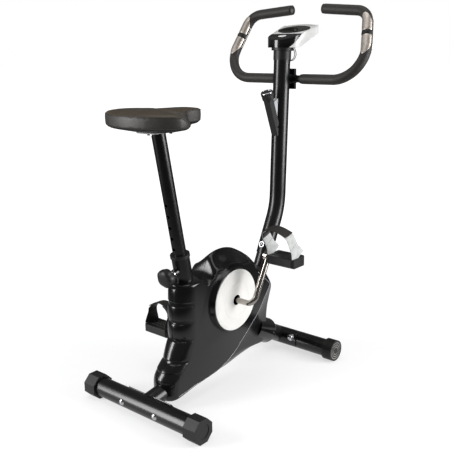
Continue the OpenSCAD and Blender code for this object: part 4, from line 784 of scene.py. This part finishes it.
def oval(rx, ry, count, power):
    """Oval of count points; a power above 2 makes it squarer."""
    out = []
    for i in range(count):
        a = 2 * math.pi * i / count
        c, s = math.cos(a), math.sin(a)
        out.append((rx * math.copysign(abs(c) ** (2 / power), c),
                    ry * math.copysign(abs(s) ** (2 / power), s)))
    return out


def face_disc(name, x, levels, mat, power, body="frame", stands_for=(), count=96):
    """Raised or sunk oval on the console's face; levels are [half depth, half width, depth]."""
    verts = []
    for rx, ry, depth in levels:
        verts += [on_face(x, q, depth, p) for p, q in oval(rx, ry, count, power)]
    n = len(levels)
    faces = ring_faces(n, count)
    faces.append(tuple((n - 1) * count + i for i in range(count)))
    ob = piece(name, verts, faces, mat, body, stands_for)
    sharp_smooth(ob, 40)
    return ob


DISPLAY_X, BUTTON_X = REAR_X + 97, REAR_X + 35
face_disc("display_rim", DISPLAY_X,
          [(36, 57, 0.3), (35.4, 56.2, -0.6), (34.2, 54.8, -1.0), (33, 53.4, -0.6), (32.6, 52.8, -0.3),
           (32.2, 52.2, 0.4)], GLOSS, 1.95)
face_disc("display_window", DISPLAY_X,
          [(32.8, 53, -0.25), (31.6, 51.6, -0.42), (24, 42, -0.6), (11, 20, -0.72), (1, 3, -0.76)],
          LENS, 1.95, stands_for=["console_lens"])
face_disc("mode_button", BUTTON_X,
          [(8.1, 14.0, 1.5), (8.1, 14.0, -0.4), (7.7, 13.5, -1.2), (6.4, 11.6, -1.7), (2, 4, -1.9)],
          WHITE_TOP, 2.3, "console_button", ["console_button"], 64)
face_disc("button_ring", BUTTON_X,
          [(9.6, 15.5, 0.2), (9.2, 15.1, -0.4), (8.6, 14.6, -0.2), (8.4, 14.4, 1.0)],
          GLOSS, 2.3, count=64)


# ---------------------------------------------------------------- saddle

SAD_X, SAD_Z = 86.5807 - 116.6, 774.195 + 14    # rear end of the pad, and its bottom above the seat post
HALF_W, LENGTH, WALL = 134.0, 258.0, 36.0
WING_FALL = 29                                  # how far the wings fall towards the front
TURN_X = 100                                    # the pad's rings shrink towards this point of its length
# Half of the pad's outline: length from the rear, share of the half width
half_saddle = [(0, 0), (9, 0.45), (30, 0.77), (58, 0.96), (82, 1), (108, 0.93), (134, 0.73), (158, 0.46),
               (186, 0.3), (LENGTH - 22, 0.27), (LENGTH - 4, 0.19), (LENGTH, 0)]
full_saddle = half_saddle + [(x, -y) for x, y in half_saddle[-2:0:-1]]


def wing_drop(x, y):
    """Fall of the wings at a length and a share of the half width; the middle ridge stays up."""
    return WING_FALL * smooth_step((x - 50) / 88) * smooth_step((abs(y) - 0.42) / 0.46)


def nose_drop(x, h):
    """The crown gets lower towards the nose."""
    return max(0, h - WALL) * 0.65 * smooth_step((x - 110) / 80)


def saddle_point(p, s, h, d):
    """Point at s of the outline's size and height h; d is the share of the wings' fall it takes."""
    x = TURN_X + (p[0] - TURN_X) * (1 + (s - 1) * 1.15)
    return (SAD_X + x, HALF_W * p[1] * s, SAD_Z + h - d * wing_drop(p[0], p[1]) - nose_drop(p[0], h))


# size, height and share of the wings' fall, from the bottom round the wall to the crown
rows = [(0.05, 0, 0), (0.5, 0, 0), (0.9, 0, 0), (0.965, 0.4, 0), (0.982, 2.2, 0.02), (0.99, 9, 0.2),
        (0.993, 18, 0.45), (0.993, 27, 0.8), (0.99, WALL - 4, 1), (0.975, WALL - 1.4, 1),
        (0.94, WALL + 0.6, 1), (0.86, WALL + 2.8, 1), (0.74, WALL + 5.2, 0.95), (0.58, WALL + 7, 0.8),
        (0.4, WALL + 8.2, 0.6), (0.22, WALL + 8.7, 0.4), (0.06, WALL + 8.9, 0.2)]
saddle_curve = closed_curve(full_saddle, lambda i: 7)
verts = [world(*saddle_point(p, *r)) for r in rows for p in saddle_curve]
count = len(saddle_curve)
faces = ring_faces(len(rows), count)
faces += [tuple(range(count)), tuple((len(rows) - 1) * count + i for i in range(count))]
saddle = piece("saddle_cushion", verts, faces, [VINYL, VINYL_SIDE], "seat", ["saddle_pad"])


PUFF_FRAMES = 20


def puff(ob, voxel, pressure, cap):
    """Inflates a closed form a little as stretched cloth over foam, by no more than the cap."""
    m = ob.modifiers.new("remesh", "REMESH")
    m.mode = "VOXEL"
    m.voxel_size = voxel
    apply_mods(ob)
    before = [v.co.copy() for v in ob.data.vertices]
    low = min(v.z for v in before)
    group = ob.vertex_groups.new(name="pinned")
    group.add([i for i, v in enumerate(before) if v.z < low + 0.012], 1.0, "REPLACE")
    c = ob.modifiers.new("cloth", "CLOTH")
    s = c.settings
    s.quality = 5
    s.mass = 0.4
    s.tension_stiffness = 12
    s.compression_stiffness = 12
    s.shear_stiffness = 6
    s.bending_stiffness = 1.2
    s.use_pressure = True
    s.uniform_pressure_force = pressure
    s.effector_weights.gravity = 0
    s.vertex_group_mass = "pinned"
    c.point_cache.frame_start = 1
    c.point_cache.frame_end = PUFF_FRAMES
    for f in range(1, PUFF_FRAMES + 1):
        bpy.context.scene.frame_set(f)
    apply_mods(ob)
    for v, b in zip(ob.data.vertices, before):
        step = v.co - b
        if step.length > cap:
            v.co = b + step.normalized() * cap
    bpy.context.scene.frame_set(1)


puff(saddle, 0.0045, 3.0, 0.0022)
subdivided(saddle)

SEAM = WALL - 3.5    # height of the seam between top and side wall, where the wings don't fall
me = saddle.data
me.materials.clear()
me.materials.append(VINYL)
me.materials.append(VINYL_SIDE)
for f in me.polygons:
    c = f.center
    x, y, z = c.x / MM + MID_X, c.y / MM, c.z / MM
    f.material_index = 0 if z - SAD_Z > SEAM - wing_drop(x - SAD_X, y / HALF_W) else 1
    f.use_smooth = True

# The welt: a thin cord of the side's vinyl, laid along the seam on the puffed cushion
WELT_R, WELT_SIDES = 0.0011, 8
bm = bmesh.new()
bm.from_mesh(me)
tree = BVHTree.FromBMesh(bm)
bm.free()
welt = []
for p in closed_curve(full_saddle, lambda i: 12):
    hit, normal, _, _ = tree.find_nearest(world(*saddle_point(p, 1.0, SEAM, 1)))
    welt.append(hit + normal * 0.0004)
for _ in range(3):
    welt = [(welt[i - 1] + welt[i] * 2 + welt[(i + 1) % len(welt)]) / 4 for i in range(len(welt))]
n = len(welt)
verts = []
for i, p in enumerate(welt):
    t = (welt[(i + 1) % n] - welt[i - 1]).normalized()
    a = Vector((0, 0, 1)) - t * t.z
    a.normalize()
    b = t.cross(a)
    verts += [p + (a * math.cos(k * math.pi / 4) + b * math.sin(k * math.pi / 4)) * WELT_R
              for k in range(WELT_SIDES)]
faces = []
for i in range(n):
    here, there = i * WELT_SIDES, (i + 1) % n * WELT_SIDES
    for k in range(WELT_SIDES):
        after = (k + 1) % WELT_SIDES
        faces.append((here + k, here + after, there + after, there + k))
piece("saddle_welt", verts, faces, VINYL_SIDE, "seat")


# ---------------------------------------------------------------- pedal straps

PED_IN, PED_LEN, PED_H = 139.5, 92.0, 28.0                         # pedal: inner end, length and height
STRAP_T = 2.4
LOW_Y, HIGH_Y = PED_IN + 2.5 + 1.3, PED_IN + PED_LEN - 2.5 - 1.3   # the strap's inner and outer leg
BOW = (HIGH_Y - LOW_Y) / 2
BOW_FLAT = 0.62                                                    # the bow's centre lies lower by this share
RIGHT_EYE, LEFT_EYE = joint_at("pedal_right"), joint_at("pedal_left")    # pedal axles, x and z
# Half widths and half thicknesses round a strap's section, as shares
SECTION = ((-1, -0.5), (-0.93, -1), (0, -1), (0.93, -1), (1, -0.5), (1, 0.5), (0.93, 1), (0, 1),
           (-0.93, 1), (-1, 0.5))


def strap_path(rise, grow=0.0, begin=0.0, end=1.0):
    """Arch over the foot as [y, z], from the inner to the outer leg; begin and end are shares of its bow."""
    mid, drop = (LOW_Y + HIGH_Y) / 2, BOW * BOW_FLAT
    centre, big = rise - drop, math.hypot(BOW, drop) + grow
    a0, a1 = math.atan2(drop, -BOW), math.atan2(drop, BOW)
    return [(mid + big * math.cos(a0 + (a1 - a0) * t), centre + big * math.sin(a0 + (a1 - a0) * t))
            for t in [begin + (end - begin) * k / 40 for k in range(41)]]


def ribbon(name, pts, width, thick, mat, foot, stands_for=(), waves=0.0):
    """Flat strap along [y, z] points on a pedal; it leans back, and lies flatter towards its top."""
    body, eye, sign, lean, rise = foot
    verts = []
    n = len(pts)
    cl, sl = math.cos(lean), math.sin(lean)
    for i, (y, z) in enumerate(pts):
        dy = pts[min(i + 1, n - 1)][0] - pts[max(i - 1, 0)][0]
        dz = pts[min(i + 1, n - 1)][1] - pts[max(i - 1, 0)][1]
        d = math.hypot(dy, dz)
        ny, nz = -dz / d, dy / d
        w = width(z, i / (n - 1))
        lift = waves * math.sin(i * 1.9)
        flat = lean * (1 - 0.6 * smooth_step((z - 0.45 * rise) / (0.75 * rise)))
        cw, sw = math.cos(flat), math.sin(flat)
        for e, s in SECTION:
            t = s * thick / 2 + (lift if s > 0 and abs(e) < 0.95 else 0)
            yy, zz, xx = y + ny * t, z + nz * t, e * w
            verts.append(world(eye[0] + xx * cw + zz * sl, sign * yy,
                               eye[1] + PED_H / 2 - xx * sw + zz * cl))
    faces = ring_faces(n, len(SECTION)) + cap_faces(n, len(SECTION))
    ob = piece(name, verts, faces, mat, body, stands_for)
    subdivided(ob)
    sharp_smooth(ob, 60)
    return ob


def leg_width(z, share):
    """Half width of a strap's leg at a height: a wide foot, a waist, then the plain strap."""
    return 17.2 + 11.8 * (1 - smooth_step(z / 46)) ** 1.2 + 0.9 * math.exp(-((z - 44) / 9) ** 2)


def fold_width(z, share):
    """Half width of the band of painted shade along the fold line across a leg."""
    return leg_width(z, share) + 0.4


def top_width(z, share):
    """Half width of the top strap, a little narrower at its two ends."""
    return 18.0 - (1.4 if share > 0.985 or share < 0.01 else 0)


# side, sign of y, pedal axle, lean, colour of the legs and the painted shade of their folds, rise of the bow
for side, sign, eye, lean, legs, crease_shade, rise in (
        ("right", -1, RIGHT_EYE, -math.radians(31), STRAP_LIGHT, FOLD_SHADE, 79.0),
        ("left", 1, LEFT_EYE, math.radians(7), STRAP_DARK, RUBBER, 45.0)):
    foot = (f"pedal_{side}", eye, sign, lean, rise)
    node = [f"strap_{side}"]
    inner = [(LOW_Y, -1.2 + (rise + 1.2) * k / 26) for k in range(26)] + strap_path(rise, 0, 0, 0.3)
    outer = strap_path(rise, 0, 0.72, 1.0) + [(HIGH_Y, rise - (rise + 1.2) * k / 26) for k in range(1, 27)]
    ribbon(f"strap_inner_{side}", inner, leg_width, STRAP_T, legs, foot, node)
    ribbon(f"strap_outer_{side}", outer, leg_width, STRAP_T, legs, foot, node)
    # A darker band across each leg at its fold: painted shade in the crease
    for y, part in ((LOW_Y, "inner"), (HIGH_Y, "outer")):
        fold = [(y, rise * 0.54 + 0.28 * k) for k in range(5)]
        ribbon(f"strap_fold_shade_{part}_{side}", fold, fold_width, STRAP_T + 0.5, crease_shade, foot)
    over = [(LOW_Y - 2.0, rise - 12 + 12 * k / 6) for k in range(6)] + strap_path(rise, 2.1, 0.02, 0.8)
    (y0, z0), (y1, z1) = over[-2], over[-1]
    step = math.hypot(y1 - y0, z1 - z0)
    over += [(y1 + (y1 - y0) / step * 2.4 * k, z1 + (z1 - z0) / step * 2.4 * k + 0.1 * k)
             for k in range(1, 8)]    # the free tongue past the outer leg
    ribbon(f"strap_top_{side}", over, top_width, 2.6, STRAP_DARK, foot, waves=0.22)
    under = [(LOW_Y + 2.2, rise - 10 + 10 * k / 6) for k in range(6)] + strap_path(rise, -2.2, 0.03, 0.34)
    ribbon(f"strap_keeper_{side}", under, lambda z, t: 17.6, 2.0, STRAP_DARK, foot)


# ---------------------------------------------------------------- knobs and small rings

LOCK_FOOT, LOCK_AXIS = along_joint("lock_knob", 45.1)            # foot of the handle on its pin
TENSION_FOOT, TENSION_AXIS = along_joint("tension_knob", 3.3)    # the knob's underside


def lobed(a, r):
    """Five soft finger hollows round the lock knob."""
    return -0.14 * max(0, r - 11) * (0.5 + 0.5 * math.cos(5 * a)) ** 1.6


turned("lock_handle", LOCK_FOOT, LOCK_AXIS,
       [(6.4, 1), (10.6, 0.2), (11.4, 0.8), (11.6, 2), (11.6, 5), (13, 6.4), (21, 8), (25, 10), (26.6, 13),
        (27, 18), (26.8, 24), (25.6, 28.5), (22.6, 31.6), (17, 33.6), (9, 34.6), (0.4, 34.9)],
       BLACK, "lock_knob", ["lock_knob"], count=120, wave=lobed)

turned("tension_ring", TENSION_FOOT, TENSION_AXIS,
       [(18.6, 22.2), (18.3, 23.6), (17.4, 24.7), (15.9, 25.2), (14.6, 24.9), (13.9, 24.2), (13.6, 23.2)],
       ZINC, "tension_knob", count=96)
turned("tension_mark", TENSION_FOOT, TENSION_AXIS,
       [(9.8, 24.1), (9.4, 24.9), (8.6, 25.1), (7.6, 24.6), (3, 24.2), (0.3, 24.1)],
       BLACK, "tension_knob", count=64)

ROLLER_AXIS_X, ROLLER_AXIS_Z = joint_at("roller_left")
FRONT = world(ROLLER_AXIS_X, 0, ROLLER_AXIS_Z)    # middle of the front floor tube
ROLLER_END = 219                                  # the rollers' outer faces, mm from the middle plane
NUT_Y, NUT_OUT = 64, 30.6                         # a nut's distance from the middle plane and the tube's axis
NUT_AXIS = (-math.cos(FALL), 0, math.sin(FALL))
HUB = world(CRANK[0], 0, CRANK[1])
# Washer and domed nut
NUT = [(11.2, 0), (11.2, 1.4), (10.8, 1.8), (9.6, 2.0), (9.3, 6.5), (8.7, 9.5), (7.3, 12.2), (5, 14),
       (2.4, 15), (0.3, 15.3)]
for sign, side in SIDES:
    # Pale rings on each roller's outer face, painting the highlights of its ribbed face
    for k, r in enumerate((12, 19, 26)):
        turned(f"roller_ring_{side}_{k}", FRONT + Vector((0, sign * ROLLER_END * MM, 0)), (0, sign, 0),
               [(r + 1.55, -1.15), (r + 1.3, -0.7), (r - 0.2, -0.55), (r - 1.3, -0.75), (r - 1.55, -1.15)],
               RING_HIGHLIGHT, f"roller_{side}", count=72, wave=lambda a, q: 0.35 * math.sin(3 * a))
    turned(f"front_nut_{side}", FRONT + Vector((0, sign * NUT_Y * MM, 0)) + Vector(NUT_AXIS) * NUT_OUT * MM,
           NUT_AXIS, NUT, ZINC, "frame", count=48)
    turned(f"cover_ring_{side}", HUB, (0, sign, 0),
           [(85, 60.7), (84.7, 61.3), (84.2, 61.6), (83.6, 61.6), (83.1, 61.3), (82.8, 60.9)],
           WHITE, "frame")
    turned(f"cover_step_{side}", HUB, (0, sign, 0),
           [(55.4, 61.9), (55, 62.5), (54.4, 62.7), (53.8, 62.5), (53.5, 62.1)],
           WHITE, "frame")


# ---------------------------------------------------------------- floor, light, camera

def staged(name, verts, faces, mat):
    """A piece of the set, not of the part."""
    me = bpy.data.meshes.new(name)
    me.from_pydata(verts, [], faces)
    me.materials.append(mat)
    ob = bpy.data.objects.new(name, me)
    bpy.context.scene.collection.objects.link(ob)
    return ob


def choose(node_tree, mix, light_path, kind, other, chosen):
    """Sets a mix node to the chosen shader for one kind of ray and to the other for the rest."""
    node_tree.links.new(light_path.outputs[kind], mix.inputs[0])
    node_tree.links.new(other.outputs[0], mix.inputs[1])
    node_tree.links.new(chosen.outputs[0], mix.inputs[2])


def floor_material():
    """Matt white floor that keeps the object's shadow; it glows less near the object, and far away it fades
    to the white surround. In reflections it glows brightest near the object: a painted pool of light.
    """
    m = Material("matt_white_floor")
    m.tree.nodes.remove(m.shader)
    away = m.add("VectorMath", {"operation": "LENGTH"})
    m.tree.links.new(m.add("TexCoord").outputs["Object"], away.inputs[0])
    eased = {"interpolation_type": "SMOOTHSTEP"}
    level = m.add("MapRange", eased, Value=away.outputs["Value"], From_Min=0.7, From_Max=2.6,
                  To_Min=0.6, To_Max=1.0)
    # Painted reflection: to glossy rays the floor glows, brightest near the object
    mirrored = m.add("MapRange", eased, Value=away.outputs["Value"], From_Min=0.45, From_Max=1.15,
                     To_Min=0.62, To_Max=0.04)
    diffuse = m.add("BsdfDiffuse", Color=linear("#b5b5b6"))
    glow = m.add("Emission", Color=linear("#ffffff"), Strength=level)
    both = m.add("AddShader")
    m.tree.links.new(diffuse.outputs[0], both.inputs[0])
    m.tree.links.new(glow.outputs[0], both.inputs[1])
    shine = m.add("Emission", Color=linear("#ffffff"), Strength=mirrored)
    path = m.add("LightPath")
    reflected, pick = m.add("MixShader"), m.add("MixShader")
    choose(m.tree, reflected, path, "Is Glossy Ray", diffuse, shine)
    choose(m.tree, pick, path, "Is Camera Ray", reflected, both)
    m.put(m.tree.nodes["Material Output"], Surface=pick)
    return m.mat


staged("floor", [(-30, -30, 0), (30, -30, 0), (30, 30, 0), (-30, 30, 0)], [(0, 1, 2, 3)], floor_material())

scene = bpy.context.scene
sky = bpy.data.worlds.new("studio")
scene.world = sky
sky.use_nodes = True
sky_tree = sky.node_tree


def glow_of(node, code, strength):
    """Sets a background node."""
    node.inputs["Color"].default_value = linear(code)
    node.inputs["Strength"].default_value = strength
    return node


# The surround: soft fill light, dim in reflections, white to the camera
fill = glow_of(sky_tree.nodes["Background"], "#fcfdff", 0.34)
dim = glow_of(sky_tree.nodes.new("ShaderNodeBackground"), "#fffdf9", 0.12)
seen = glow_of(sky_tree.nodes.new("ShaderNodeBackground"), "#ffffff", 1.0)
ray = sky_tree.nodes.new("ShaderNodeLightPath")
swap = sky_tree.nodes.new("ShaderNodeMixShader")
mirror = sky_tree.nodes.new("ShaderNodeMixShader")
choose(sky_tree, mirror, ray, "Is Glossy Ray", fill, dim)
choose(sky_tree, swap, ray, "Is Camera Ray", mirror, seen)
sky_tree.links.new(swap.outputs[0], sky_tree.nodes["World Output"].inputs["Surface"])


def lamp(name, place, target, size, power):
    """Rectangular soft box that faces its target."""
    data = bpy.data.lights.new(name, "AREA")
    data.shape = "RECTANGLE"
    data.size, data.size_y = size
    data.energy = power
    ob = bpy.data.objects.new(name, data)
    ob.location = place
    ob.rotation_mode = "QUATERNION"
    ob.rotation_quaternion = (Vector(target) - Vector(place)).to_track_quat("-Z", "Y")
    scene.collection.objects.link(ob)


lamp("left", (-2.3, 1.5, 1.0), (0, 0, 0.55), (0.95, 2.0), 66)
lamp("right", (1.25, -2.65, 1.05), (0, 0, 0.5), (1.5, 2.0), 90)
lamp("top", (-0.2, 0.1, 3.4), (0, 0, 0), (2.4, 2.4), 26)

CAMERA_AT = (-1178.4, -1299.3, 987.0)    # behind the bike on its right side, mm
heading, pitch, roll = math.radians(40.417), math.radians(14.418), math.radians(-0.70)
ahead = Vector((math.cos(heading) * math.cos(pitch), math.sin(heading) * math.cos(pitch), -math.sin(pitch)))
right = Vector((math.sin(heading), -math.cos(heading), 0))
up = right.cross(ahead)
right, up = right * math.cos(roll) + up * math.sin(roll), up * math.cos(roll) - right * math.sin(roll)
cam_data = bpy.data.cameras.new("camera")
cam_data.lens = 56.2856
cam_data.sensor_width = 36
cam = bpy.data.objects.new("camera", cam_data)
turn = Matrix((right, up, -ahead)).transposed()
cam.matrix_world = Matrix.Translation(world(*CAMERA_AT)) @ turn.to_4x4()
scene.collection.objects.link(cam)
scene.camera = cam
scene.view_settings.view_transform = "Standard"
